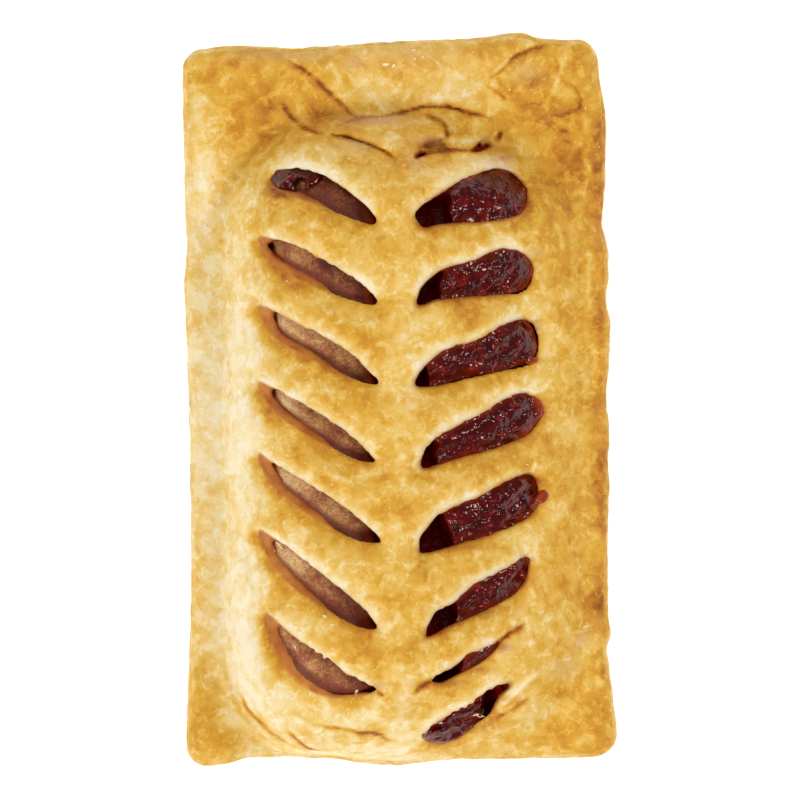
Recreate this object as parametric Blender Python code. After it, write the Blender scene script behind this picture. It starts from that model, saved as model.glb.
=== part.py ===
"""A baked sausage roll: a flat oblong of puff pastry, folded over a skinless sausage and a bed of
thick spiced tomato sauce, with two rows of slanting cuts that open its domed roof.

Run it with: blender --background --python part.py

The model is in metres, +Z up. X runs across the roll, Y along it, and the origin is the middle of
its flat underside. The functions below work in millimetres, and MM turns them into metres.
"""

import math

import bmesh
import bpy
import numpy as np

MM = 0.001

# Driving dimensions of the pastry, in millimetres
HALF_WIDTH = 40.2
HALF_LENGTH = 68.6
CORNER_RADIUS = 3.6
RIM_HEIGHT = 6.6
EDGE_DROP = 2.2
EDGE_DROP_WIDTH = 3.0
FOOT_INSET = 0.7
BASE_THICKNESS = 3.0
ROOF_THICKNESS = 3.3
CREST_HEIGHT = 27.0

# The dome that the filling lifts, in plan. It is steep beside the sausage and eases down over the sauce.
CREST_X = -13.5
DOME_LEFT = -33.6
DOME_RIGHT = 34.0
DOME_BACK = 54.0
DOME_FRONT = -70.0
DOME_END_LENGTH = 24.0
DOME_SQUARENESS = 2.5
LEFT_FALL = 0.86
RIGHT_FALL = 0.84
DOME_FILLET = 6.0

# The filling
SAUSAGE_RADIUS = 10.2
SAUSAGE_X = -14.0
SAUSAGE_BACK = 44.5
SAUSAGE_FRONT = -55.5
SAUSAGE_CAP_LENGTH = 13.0
SAUSAGE_FLATTENING = 0.97
SAUSAGE_SWAY = 0.5
SAUSAGE_SWAY_LENGTH = 17.0
GAP = 0.35

# The sauce meets the roof on the right. Beside the sausage it has settled and left a hollow, and past
# the sausage's back end it runs across to the left.
HOLLOW_X = 5.0
HOLLOW_WIDTH = 6.0
HOLLOW_LEVEL = 12.5
BEHIND_SAUSAGE_Y = 38.0
BEHIND_SAUSAGE_LENGTH = 6.0
BEHIND_SAUSAGE_LEVEL = 19.0
SAUCE_LEFT = -8.0
SAUCE_LEFT_BEHIND = 36.0

# The pocket in the pastry that holds the filling
POCKET_LEFT = -26.4
POCKET_RIGHT = 27.8
POCKET_BACK = 47.2
POCKET_FRONT = -65.0
POCKET_CORNER = 9.0
POCKET_LEAST_HEIGHT = 1.4

# Each cut runs from its inner tip, by the spine, to its outer tip. The two bulges are how far its back
# and its front edge bow away from the straight line between the tips, and the two peaks are where they
# do so most, from 0 at the inner tip to 1 at the outer one.
# inner x, inner y, outer x, outer y, back bulge, back peak, front bulge, front peak
LEFT_CUTS = (
    (-4.6, 33.6, -25.0, 42.2, 4.2, 0.45, 0.8, 0.40),
    (-4.1, 18.5, -26.0, 31.0, 2.2, 0.35, 3.8, 0.68),
    (-4.1, 3.0, -26.2, 18.5, 1.7, 0.25, 3.9, 0.68),
    (-4.6, -11.6, -26.2, 4.0, 1.5, 0.22, 4.1, 0.68),
    (-3.5, -26.8, -26.2, -9.7, 1.4, 0.22, 4.3, 0.66),
    (-4.1, -42.8, -26.0, -24.2, 1.0, 0.20, 4.1, 0.68),
    (-4.3, -54.6, -25.0, -39.6, -1.3, 0.50, 7.6, 0.60),
)
RIGHT_CUTS = (
    (3.3, 33.8, 23.8, 38.0, 6.6, 0.74, 2.6, 0.78),
    (3.3, 18.4, 25.0, 24.7, 4.9, 0.76, 3.1, 0.82),
    (3.1, 3.0, 25.4, 11.0, 4.3, 0.80, 2.8, 0.80),
    (4.1, -12.4, 26.1, -1.5, 4.2, 0.72, 3.7, 0.80),
    (3.7, -28.1, 27.0, -18.4, 5.0, 0.76, 2.8, 0.74),
    (5.2, -43.9, 24.4, -29.8, 2.1, 0.24, 4.1, 0.78),
    (3.1, -54.7, 22.5, -42.2, 0.4, 0.50, 1.5, 0.50),
    (4.9, -63.7, 21.4, -53.6, 0.8, 0.30, 3.8, 0.38),
)
CUT_ROUNDNESS = 1.25
CUT_SIDE_POINTS = 9
CUT_LOWEST = 9.5

# Each strip between two cuts bakes into a soft roll, so the roof sinks a little beside every cut
EDGE_ROLL = 1.4
EDGE_ROLL_WIDTH = 3.0

# The grid's rows lean the way the cuts do, by this much on the left and on the right of the spine
LEFT_LEAN = 0.56
RIGHT_LEAN = 0.36
LEAN_REACH = 27.0

# Cuts of the same lattice that lie past the filling never open. They bake shut as low steps, and the
# strip behind each one laps over the strip in front of it.
# first x, first y, last x, last y, step height
CLOSED_CUTS = (
    (-24.0, 66.0, -10.5, 54.8, 0.9),
    (-10.5, 54.8, 18.0, 55.0, 1.4),
    (-23.5, 57.0, 1.0, 46.6, 1.5),
    (4.0, 46.6, 19.0, 50.6, 1.8),
    (-29.0, -58.0, -21.5, -65.0, 0.9),
    (-20.0, -63.4, -7.0, -68.2, 1.0),
    (-14.0, -61.0, 0.5, -65.6, 1.2),
)
STEP_FADE = 3.2
STEP_FRONT_WIDTH = 1.2
STEP_END_SHARE = 0.2

CRUST_CELLS = (34, 56)
POCKET_CELLS = (13, 26)
SAUSAGE_SIDES = 22
SAUSAGE_RINGS = 18


def smooth_step(t):
    """0 below 0 and 1 above 1, with an easy turn at both ends."""
    t = np.clip(t, 0.0, 1.0)
    return t * t * (3.0 - 2.0 * t)


def smooth_max(a, b, blend):
    """The larger of two heights, with a fillet of about `blend` where they cross."""
    h = np.clip(0.5 + 0.5 * (a - b) / blend, 0.0, 1.0)
    return b + (a - b) * h + blend * h * (1.0 - h)


# The four sides of the baked dough, which crept a little unevenly in the oven


def left_side(y):
    return -40.5 - 0.7 * np.cos(2 * math.pi * (y - 45.0) / 150.0)


def right_side(y):
    ripple = 0.45 * np.cos(2 * math.pi * (y - 17.0) / 19.0) + 0.3 * np.cos(2 * math.pi * y / 11.0)
    return 39.8 - 0.014 * y + ripple - 0.7 * smooth_step((y - 45.0) / 20.0)


def back_side(x):
    blister = 1.1 * np.exp(-(((x - 20.5) / 6.0) ** 2))
    return 67.9 + 0.03 * x + blister + 0.3 * np.cos(2 * math.pi * (x + 31.0) / 24.0)


def front_side(x):
    fade = 1.0 - 0.75 * smooth_step((x + 2.0) / 20.0)
    return -68.5 - 0.95 * fade * np.cos(2 * math.pi * (x + 37.5) / 38.0)


def bulge(t, height, peak):
    """How far one edge of a cut stands off its chord: nothing at the tips, `height` at `peak`."""
    t = np.clip(t, 0.0, 1.0)
    rise = (t / peak) ** (peak * CUT_ROUNDNESS)
    fall = ((1.0 - t) / (1.0 - peak)) ** ((1.0 - peak) * CUT_ROUNDNESS)
    return height * rise * fall


def cut_frame(cut):
    """First tip, length, and the unit vectors along a cut and across it towards the back of the roll."""
    inner, outer = np.array(cut[0:2]), np.array(cut[2:4])
    length = np.linalg.norm(outer - inner)
    along = (outer - inner) / length
    across = np.array([-along[1], along[0]])
    if across[1] < 0.0:
        across = -across
    return inner, length, along, across


def distance_to_cut(x, y, cut):
    """Distance in plan from a cut's edge, negative inside the cut."""
    inner, length, along, across = cut_frame(cut)
    dx, dy = x - inner[0], y - inner[1]
    run = dx * along[0] + dy * along[1]
    off = dx * across[0] + dy * across[1]
    t = np.clip(run / length, 0.0, 1.0)
    past_edge = np.maximum(off - bulge(t, *cut[4:6]), -bulge(t, *cut[6:8]) - off)
    past_tip = run - t * length
    outside = np.hypot(np.maximum(past_edge, 0.0), past_tip)
    return np.where((past_edge < 0.0) & (past_tip == 0.0), past_edge, outside)


def distance_to_cuts(x, y):
    return np.minimum.reduce([distance_to_cut(x, y, cut) for cut in LEFT_CUTS + RIGHT_CUTS])


def closed_step(x, y, cut):
    """A step that is full height just behind a closed cut and fades out backwards and at its ends."""
    first, length, along, across = cut_frame(cut)
    run = ((x - first[0]) * along[0] + (y - first[1]) * along[1]) / length
    off = (x - first[0]) * across[0] + (y - first[1]) * across[1]
    ends = smooth_step(run / STEP_END_SHARE) * smooth_step((1.0 - run) / STEP_END_SHARE)
    front = smooth_step(off / STEP_FRONT_WIDTH + 0.5)
    return cut[4] * ends * front * np.exp(-((np.maximum(off, 0.0) / STEP_FADE) ** 2))


def dome(x, y):
    """1 on the crest of the roof, 0 where the roof meets the flat rim, and less than 0 outside."""
    side = np.abs(x - CREST_X) / np.where(x < CREST_X, CREST_X - DOME_LEFT, DOME_RIGHT - CREST_X)
    end = np.maximum(y - (DOME_BACK - DOME_END_LENGTH), (DOME_FRONT + DOME_END_LENGTH) - y) / DOME_END_LENGTH
    inside = 1.0 - np.hypot(side, np.maximum(end, 0.0)) ** DOME_SQUARENESS
    fall = np.where(x < CREST_X, LEFT_FALL, RIGHT_FALL)
    return np.sign(inside) * np.abs(inside) ** fall


def roof_height(x, y):
    """Height of the roof before its edges roll: the dome, with a fillet down to the rim."""
    return smooth_max(RIM_HEIGHT + (CREST_HEIGHT - RIM_HEIGHT) * dome(x, y), RIM_HEIGHT, DOME_FILLET)


def crust_height(x, y):
    """Height of the pastry's upper surface."""
    height = roof_height(x, y)
    height = height - EDGE_ROLL * np.exp(-((np.maximum(distance_to_cuts(x, y), 0.0) / EDGE_ROLL_WIDTH) ** 2))
    for cut in CLOSED_CUTS:
        height = height + closed_step(x, y, cut)
    return height


def round_corner(x, y, half_x, half_y, radius):
    """Moves a point of an oblong so that the oblong's corners become quarter circles."""
    over_x, over_y = abs(x) - (half_x - radius), abs(y) - (half_y - radius)
    if over_x <= 0.0 or over_y <= 0.0:
        return x, y
    a, b = over_x / radius, over_y / radius
    new_x = half_x - radius + radius * a * math.sqrt(1.0 - b * b / 2.0)
    new_y = half_y - radius + radius * b * math.sqrt(1.0 - a * a / 2.0)
    return math.copysign(new_x, x), math.copysign(new_y, y)


def new_object(name, mesh, collection, material=None):
    made = bpy.data.objects.new(name, mesh)
    collection.objects.link(made)
    if material:
        mesh.materials.append(material)
    return made


def finish_mesh(bm, name):
    """Turns a bmesh in millimetres into a mesh in metres with its faces pointing out."""
    bmesh.ops.recalc_face_normals(bm, faces=bm.faces)
    bmesh.ops.scale(bm, vec=(MM, MM, MM), verts=bm.verts)
    mesh = bpy.data.meshes.new(name)
    bm.to_mesh(mesh)
    bm.free()
    return mesh


def block_from_grid(name, half_x, half_y, cells, corner, place, floor, foot_inset):
    """A closed block: a grid with round corners whose points `place` puts on the upper surface, and
    below it a straight skirt down to a flat floor. `cells` is how many cells wide and long it is."""
    bm = bmesh.new()
    columns, rows = cells
    bmesh.ops.create_grid(bm, x_segments=columns, y_segments=rows, size=1.0)
    for vert in bm.verts:
        x, y = round_corner(vert.co.x * half_x, vert.co.y * half_y, half_x, half_y, corner)
        vert.co = place(x, y)
    rim = [edge for edge in bm.edges if edge.is_boundary]
    skirt = bmesh.ops.extrude_edge_only(bm, edges=rim)["geom"]
    foot = [item for item in skirt if isinstance(item, bmesh.types.BMVert)]
    for vert in foot:
        vert.co.x *= 1.0 - foot_inset / half_x
        vert.co.y *= 1.0 - foot_inset / half_y
        vert.co.z = floor
    foot_edges = [item for item in skirt if isinstance(item, bmesh.types.BMEdge)]
    bmesh.ops.contextual_create(bm, geom=foot_edges)
    return finish_mesh(bm, name)


def lean_row(x, y):
    """Slides a point so that its row runs outwards and back like the cuts, and not at all at the ends."""
    lean = LEFT_LEAN if x < 0.0 else RIGHT_LEAN
    return y + lean * min(abs(x), LEAN_REACH) * (1.0 - (y / HALF_LENGTH) ** 2)


def place_on_crust(x, y):
    """Stretches the even oblong out to the uneven sides and lifts it to the crust's height."""
    y = lean_row(x, y)
    across, along = x / HALF_WIDTH, y / HALF_LENGTH
    wide_x = abs(across) * (right_side(y) if x > 0.0 else -left_side(y))
    long_y = abs(along) * (back_side(x) if y > 0.0 else -front_side(x))
    new_x, new_y = math.copysign(wide_x, x), math.copysign(long_y, y)
    inset = min(HALF_WIDTH * (1.0 - abs(across)), HALF_LENGTH * (1.0 - abs(along)))
    edge_drop = EDGE_DROP * (1.0 - min(inset / EDGE_DROP_WIDTH, 1.0)) ** 2
    return new_x, new_y, float(crust_height(new_x, new_y)) - edge_drop


def pocket_place(inset, level):
    """Puts a grid point on the underside of the roof, or on the filling's own level if that is lower."""
    centre_x, centre_y = (POCKET_LEFT + POCKET_RIGHT) / 2, (POCKET_BACK + POCKET_FRONT) / 2

    def place(x, y):
        x, y = x + centre_x, y + centre_y
        under_roof = max(float(roof_height(x, y)) - ROOF_THICKNESS, BASE_THICKNESS + POCKET_LEAST_HEIGHT)
        return x, y, min(under_roof - inset, level(x, y))

    return place


def pocket_block(name, inset, level, floor):
    """The pocket's own shape, or the same shape made smaller all round by `inset`."""
    half_x = (POCKET_RIGHT - POCKET_LEFT) / 2 - inset
    half_y = (POCKET_BACK - POCKET_FRONT) / 2 - inset
    place = pocket_place(2.0 * inset, level)
    return block_from_grid(name, half_x, half_y, POCKET_CELLS, POCKET_CORNER, place, floor, 0.0)


def sauce_level(x, y):
    """The sauce lies against the roof on the right, and sinks into a hollow beside the sausage."""
    hollow = 1.0 - smooth_step((x - HOLLOW_X) / HOLLOW_WIDTH)
    behind = smooth_step((y - BEHIND_SAUSAGE_Y) / BEHIND_SAUSAGE_LENGTH)
    settled = HOLLOW_LEVEL + (BEHIND_SAUSAGE_LEVEL - HOLLOW_LEVEL) * behind
    return float(CREST_HEIGHT + (settled - CREST_HEIGHT) * hollow)


def cut_outline(cut):
    """The closed outline of one cut, out along its back edge and home along its front edge."""
    inner, length, along, across = cut_frame(cut)
    steps = (1.0 - np.cos(np.linspace(0.0, math.pi, CUT_SIDE_POINTS + 1))) / 2.0
    back = [inner + along * length * t + across * bulge(t, *cut[4:6]) for t in steps]
    front = [inner + along * length * t - across * bulge(t, *cut[6:8]) for t in steps[-2:0:-1]]
    return back + front


def make_cut_cutters(collection):
    """One upright prism for each cut, from inside the pocket to above the roof."""
    for side, cuts in (("left", LEFT_CUTS), ("right", RIGHT_CUTS)):
        for number, cut in enumerate(cuts, start=1):
            bm = bmesh.new()
            verts = [bm.verts.new((px, py, CUT_LOWEST)) for px, py in cut_outline(cut)]
            face = bm.faces.new(verts)
            lifted = bmesh.ops.extrude_face_region(bm, geom=[face])["geom"]
            top = [item for item in lifted if isinstance(item, bmesh.types.BMVert)]
            bmesh.ops.translate(bm, vec=(0.0, 0.0, CREST_HEIGHT), verts=top)
            name = f"cut_{side}_{number}"
            new_object(name, finish_mesh(bm, name), collection)


def sausage_mesh(name, grow):
    """A round bar with blunt round ends, made from a cylinder and grown all round by `grow`."""
    bm = bmesh.new()
    bmesh.ops.create_cone(
        bm, cap_ends=True, segments=SAUSAGE_SIDES, radius1=1.0, radius2=1.0, depth=2.0
    )
    sides = [edge for edge in bm.edges if abs(edge.verts[0].co.z - edge.verts[1].co.z) > 1.0]
    bmesh.ops.subdivide_edges(bm, edges=sides, cuts=SAUSAGE_RINGS - 1, use_grid_fill=False)
    half = (SAUSAGE_BACK - SAUSAGE_FRONT) / 2 + grow
    for vert in bm.verts:
        along = math.sin(vert.co.z * math.pi / 2) * half
        into_cap = max(abs(along) - (half - SAUSAGE_CAP_LENGTH), 0.0) / SAUSAGE_CAP_LENGTH
        taper = math.sqrt(1.0 - 0.93 * into_cap**2.4)
        radius = (SAUSAGE_RADIUS + grow) * taper
        sway = SAUSAGE_SWAY * math.sin(along / SAUSAGE_SWAY_LENGTH)
        vert.co = (vert.co.x * radius + sway, along, vert.co.y * radius * SAUSAGE_FLATTENING)
    return finish_mesh(bm, name)


def make_sausage(name, collection, material=None, grow=0.0):
    made = new_object(name, sausage_mesh(name, grow), collection, material)
    middle = (SAUSAGE_BACK + SAUSAGE_FRONT) / 2
    height = BASE_THICKNESS + GAP + SAUSAGE_RADIUS * SAUSAGE_FLATTENING
    made.location = (SAUSAGE_X * MM, middle * MM, height * MM)
    return made


def make_box(name, low, high, collection):
    bm = bmesh.new()
    bmesh.ops.create_cube(bm, size=1.0)
    size = [b - a for a, b in zip(low, high)]
    bmesh.ops.scale(bm, vec=size, verts=bm.verts)
    bmesh.ops.translate(bm, vec=[(a + b) / 2 for a, b in zip(low, high)], verts=bm.verts)
    return new_object(name, finish_mesh(bm, name), collection)


def cut_away(target, cutter):
    modifier = target.modifiers.new("less_" + cutter.name, "BOOLEAN")
    modifier.operation = "DIFFERENCE"
    modifier.object = cutter


def make_pastry(collection, cutters, material):
    """The dough in one piece: base, rim and roof, hollowed by the pocket and opened by the cuts."""
    mesh = block_from_grid(
        "pastry", HALF_WIDTH, HALF_LENGTH, CRUST_CELLS, CORNER_RADIUS, place_on_crust, 0.0, FOOT_INSET
    )
    pastry = new_object("pastry", mesh, collection, material)
    pocket = new_object(
        "pocket", pocket_block("pocket", 0.0, lambda x, y: CREST_HEIGHT, BASE_THICKNESS), cutters
    )
    cut_away(pastry, pocket)
    slits = bpy.data.collections.new("slits")
    cutters.children.link(slits)
    make_cut_cutters(slits)
    through = pastry.modifiers.new("slits", "BOOLEAN")
    through.operation = "DIFFERENCE"
    through.operand_type = "COLLECTION"
    through.collection = slits
    return pastry


def make_sauce(collection, cutters, material):
    """The sauce fills the right of the pocket and runs round behind the sausage's far end."""
    mesh = pocket_block("sauce", GAP, sauce_level, BASE_THICKNESS + GAP)
    sauce = new_object("sauce", mesh, collection, material)
    cut_away(sauce, make_sausage("sausage_room", cutters, grow=GAP))
    corner = (SAUCE_LEFT, SAUCE_LEFT_BEHIND, CREST_HEIGHT)
    beside = make_box("beside_sausage", (-HALF_WIDTH, -HALF_LENGTH, 0.0), corner, cutters)
    cut_away(sauce, beside)
    return sauce


def make_material(name, rgb, roughness):
    """A plain Principled material. rgb is linear."""
    made = bpy.data.materials.new(name)
    made.use_nodes = True
    shader = made.node_tree.nodes["Principled BSDF"]
    shader.inputs["Base Color"].default_value = (*rgb, 1.0)
    shader.inputs["Roughness"].default_value = roughness
    shader.inputs["Metallic"].default_value = 0.0
    made.diffuse_color = (*rgb, 1.0)
    return made


def hide_helpers(collection):
    for helper in collection.all_objects:
        helper.hide_render = True
        helper.display_type = "WIRE"


def main():
    for old in list(bpy.data.objects):
        bpy.data.objects.remove(old)
    roll = bpy.data.collections.new("sausage_roll")
    cutters = bpy.data.collections.new("cutters")
    bpy.context.scene.collection.children.link(roll)
    bpy.context.scene.collection.children.link(cutters)

    pastry = make_material("baked_puff_pastry", (0.70, 0.42, 0.12), 0.55)
    meat = make_material("cooked_sausage", (0.40, 0.15, 0.06), 0.6)
    relish = make_material("spiced_tomato_sauce", (0.12, 0.012, 0.006), 0.2)
    make_pastry(roll, cutters, pastry)
    make_sausage("sausage", roll, meat)
    make_sauce(roll, cutters, relish)
    hide_helpers(cutters)


main()
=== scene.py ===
# %% [markdown]
# # A baked sausage roll
#
# The real thing is one sheet of puff pastry folded round a skinless sausage and a bed of thick spiced
# tomato sauce. A lattice cutter has slit the roof in two rows, the filling has pushed the roof up, and
# the oven has opened the slits and browned whatever stood highest.
#
# The CAD frame gives the true size and place of the dough, the sausage and the sauce. This script gives
# each of them its real surface. Lengths are in millimetres until a mesh is made, because a cook thinks
# in millimetres, and MM turns them into Blender's metres.

# %% Load the frame and the libraries
import math

import bpy
import numpy as np
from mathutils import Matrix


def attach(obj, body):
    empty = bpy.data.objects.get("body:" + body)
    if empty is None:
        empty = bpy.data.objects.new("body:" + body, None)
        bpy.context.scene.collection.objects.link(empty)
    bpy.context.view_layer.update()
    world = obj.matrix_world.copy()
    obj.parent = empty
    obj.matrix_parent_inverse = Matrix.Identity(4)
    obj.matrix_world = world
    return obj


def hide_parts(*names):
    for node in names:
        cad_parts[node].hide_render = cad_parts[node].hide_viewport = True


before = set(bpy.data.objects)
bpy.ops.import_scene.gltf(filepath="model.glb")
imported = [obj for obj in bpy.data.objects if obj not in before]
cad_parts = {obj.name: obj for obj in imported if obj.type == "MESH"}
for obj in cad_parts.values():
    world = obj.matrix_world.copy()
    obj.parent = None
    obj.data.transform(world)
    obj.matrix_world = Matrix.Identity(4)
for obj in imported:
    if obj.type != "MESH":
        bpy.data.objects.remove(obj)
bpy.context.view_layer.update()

import openvdb as vdb
from mathutils import Vector
from mathutils.bvhtree import BVHTree

MM = 0.001

# %% [markdown]
# ## Three kinds of small tool for shaping food
#
# Dough has no sharp maths in it. Every join is a fillet, and every plane is uneven. So the whole roll is
# described by three kinds of helper: an easy step or bell, a rounded "larger of two", and a smooth
# random unevenness whose bumps have a size in millimetres. The unevenness comes from a table of seeded
# random numbers, so it is the same on every run.

# %% Easing, fillets and unevenness
LATTICE = 256


def ease(t):
    """0 below 0 and 1 above 1, with an easy turn at both ends."""
    t = np.clip(t, 0.0, 1.0)
    return t * t * (3.0 - 2.0 * t)


def larger(a, b, fillet):
    """The larger of two numbers, with a fillet about `fillet` wide where they cross."""
    h = np.clip(0.5 + 0.5 * (a - b) / fillet, 0.0, 1.0)
    return b + (a - b) * h + fillet * h * (1.0 - h)


def smaller(a, b, fillet):
    return -larger(-a, -b, fillet)


def uneven(x, y, size, seed):
    """A smooth random number from -1 to 1 at each point, in bumps about `size` mm wide."""
    lattice = np.random.default_rng(seed).uniform(-1.0, 1.0, (LATTICE, LATTICE))
    turn = seed * 0.7
    u = (x * math.cos(turn) + y * math.sin(turn)) / size + 31.7
    v = (y * math.cos(turn) - x * math.sin(turn)) / size + 17.3
    i, j = np.floor(u).astype(int), np.floor(v).astype(int)
    a, b = ease(u - i), ease(v - j)
    i0, i1, j0, j1 = i % LATTICE, (i + 1) % LATTICE, j % LATTICE, (j + 1) % LATTICE
    near = lattice[i0, j0] * (1.0 - a) + lattice[i1, j0] * a
    far = lattice[i0, j1] * (1.0 - a) + lattice[i1, j1] * a
    return near * (1.0 - b) + far * b


def cloudy(x, y, size, seed, octaves=3):
    """Unevenness with finer unevenness on it, each octave half as wide and half as strong."""
    total = sum(uneven(x, y, size / 2**k, seed + k) / 2**k for k in range(octaves))
    return total / (2.0 - 0.5 ** (octaves - 1))


def bell(distance, width):
    """1 where the distance is nought, falling off softly on both sides of it."""
    return np.exp(-((distance / width) ** 2))


def patch(x, y, centre_x, centre_y, wide, long):
    """1 in the middle of a soft oval patch, falling off to 0 round it."""
    return np.exp(-(((x - centre_x) / wide) ** 2) - ((y - centre_y) / long) ** 2)


print("a fillet of 2 mm fills a corner by", larger(1.0, 1.0, 2.0) - 1.0, "mm")

# %% [markdown]
# ## Where everything lies
#
# These are the same driving sizes as the CAD model has, because this mesh stands in for its dough. The
# table of cuts is the heart of the object: the chevron of slits is what anyone sees first.

# %% Sizes of the roll in millimetres
CORNER_RADIUS = 3.6
RIM_HEIGHT = 6.6
BASE_THICKNESS = 3.0
ROOF_THICKNESS = 3.3
CREST_HEIGHT = 27.0

CREST_X = -13.5
DOME_LEFT = -33.6
DOME_RIGHT = 34.0
DOME_BACK = 54.0
DOME_FRONT = -70.0
DOME_END_LENGTH = 24.0
DOME_SQUARENESS = 2.5
LEFT_FALL = 0.86
RIGHT_FALL = 0.84
DOME_FILLET = 6.0

POCKET_LEFT = -26.4
POCKET_RIGHT = 27.8
POCKET_BACK = 47.2
POCKET_FRONT = -65.0
POCKET_CORNER = 9.0
POCKET_LEAST_HEIGHT = 1.4

# How far out each side of the dough lies at points along it
LEFT_SIDE = (
    (-72, -40.6), (-63, -40.8), (-55, -40.5), (-40, -39.9), (-20, -39.9), (0, -40.2), (14, -40.9),
    (22, -41.2), (30, -40.7), (38, -41.2), (50, -41.3), (62, -41.5), (72, -41.0),
)
RIGHT_SIDE = (
    (-72, 41.5), (-64, 41.5), (-57, 40.7), (-51, 39.9), (-47.5, 39.4), (-44.5, 40.1), (-40, 39.6),
    (-25, 39.7), (-5, 39.8), (0.5, 39.2), (6, 39.8), (14, 40.1), (19, 39.3), (27, 39.9), (34, 38.4),
    (40, 39.1), (50, 39.3), (57, 38.8), (62, 37.9), (72, 37.6),
)
BACK_SIDE = (
    (-42, 67.0), (-37, 67.2), (-32, 67.7), (-26, 67.6), (-20, 67.2), (-12, 67.7), (-4, 68.3), (4, 68.7),
    (12, 69.1), (17, 69.4), (20.5, 70.1), (24, 69.9), (28, 69.0), (42, 68.7),
)
FRONT_SIDE = (
    (-42, -69.9), (-38, -70.0), (-34, -69.6), (-29, -68.5), (-24, -68.2), (-14, -68.4), (-7, -69.3),
    (-1, -69.8), (5, -69.2), (12, -68.7), (33, -68.4), (42, -67.4),
)

print("the roof rises", round(CREST_HEIGHT - RIM_HEIGHT, 1), "mm above the rim")

# %% The cuts on the sausage side
# Each cut: its back edge from the outer tip in, its front edge back out, and the foot of its front wall
LEFT_CUTS = (
    (
        (
            (-24.9, 42.2), (-23.0, 43.5), (-19.5, 43.8), (-14.6, 42.6), (-10.5, 40.1), (-6.2, 36.5),
            (-4.5, 34.2),
        ),
        ((-5.2, 33.3), (-9.8, 34.4), (-15.0, 36.4), (-20.5, 38.3), (-24.6, 40.4)),
        ((-5.2, 33.4), (-9.8, 34.9), (-14.0, 36.9), (-19.0, 39.5), (-23.4, 41.2)),
    ),
    (
        ((-26.6, 31.2), (-22.5, 30.1), (-18.8, 28.8), (-12.4, 25.3), (-7.5, 22.2), (-4.2, 18.9)),
        ((-5.4, 18.1), (-10.1, 19.2), (-17.6, 21.8), (-24.0, 25.5), (-26.6, 28.8)),
        ((-5.4, 18.2), (-10.1, 19.7), (-16.9, 23.6), (-22.9, 27.0), (-25.0, 29.4)),
    ),
    (
        ((-26.6, 18.3), (-22.0, 16.2), (-18.8, 14.4), (-11.3, 10.3), (-6.5, 6.2), (-4.2, 3.5)),
        ((-5.2, 2.9), (-10.5, 4.3), (-17.3, 7.8), (-23.6, 11.5), (-26.6, 15.9)),
        ((-5.2, 3.0), (-10.1, 4.9), (-16.1, 9.0), (-22.1, 12.9), (-23.9, 16.4)),
    ),
    (
        ((-26.5, 3.7), (-21.4, 1.1), (-15.0, -2.6), (-8.3, -7.4), (-4.6, -11.1)),
        ((-5.6, -11.6), (-10.2, -10.3), (-16.9, -7.2), (-23.6, -2.6), (-26.7, 1.6)),
        ((-5.6, -11.5), (-10.0, -9.8), (-17.6, -4.8), (-22.6, -0.6), (-24.0, 1.9)),
    ),
    (
        ((-26.5, -9.8), (-23.3, -12.0), (-17.7, -15.3), (-11.3, -19.4), (-6.2, -23.5), (-3.6, -26.3)),
        ((-4.6, -26.9), (-9.5, -25.9), (-16.9, -22.0), (-24.0, -16.4), (-26.8, -12.0)),
        ((-4.6, -26.8), (-8.7, -25.8), (-14.0, -22.1), (-20.3, -17.0), (-23.3, -13.2)),
    ),
    (
        ((-26.3, -24.3), (-21.8, -27.3), (-15.1, -32.3), (-7.6, -38.3), (-4.2, -42.4)),
        ((-5.2, -43.0), (-9.0, -42.1), (-15.1, -39.1), (-22.0, -33.9), (-26.6, -27.2)),
        ((-5.2, -42.9), (-8.7, -42.1), (-14.3, -38.3), (-20.0, -32.6), (-23.6, -27.4)),
    ),
    (
        ((-25.2, -39.9), (-21.0, -43.3), (-15.8, -47.3), (-9.9, -51.3), (-4.6, -54.4)),
        ((-8.0, -56.3), (-13.5, -56.2), (-18.8, -53.9), (-22.9, -49.2), (-25.2, -42.6)),
        ((-7.9, -54.2), (-10.6, -54.9), (-13.5, -54.6), (-17.3, -51.6), (-20.4, -47.8), (-22.6, -43.4)),
    ),
)

print(len(LEFT_CUTS), "cuts on the sausage side")

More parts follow.
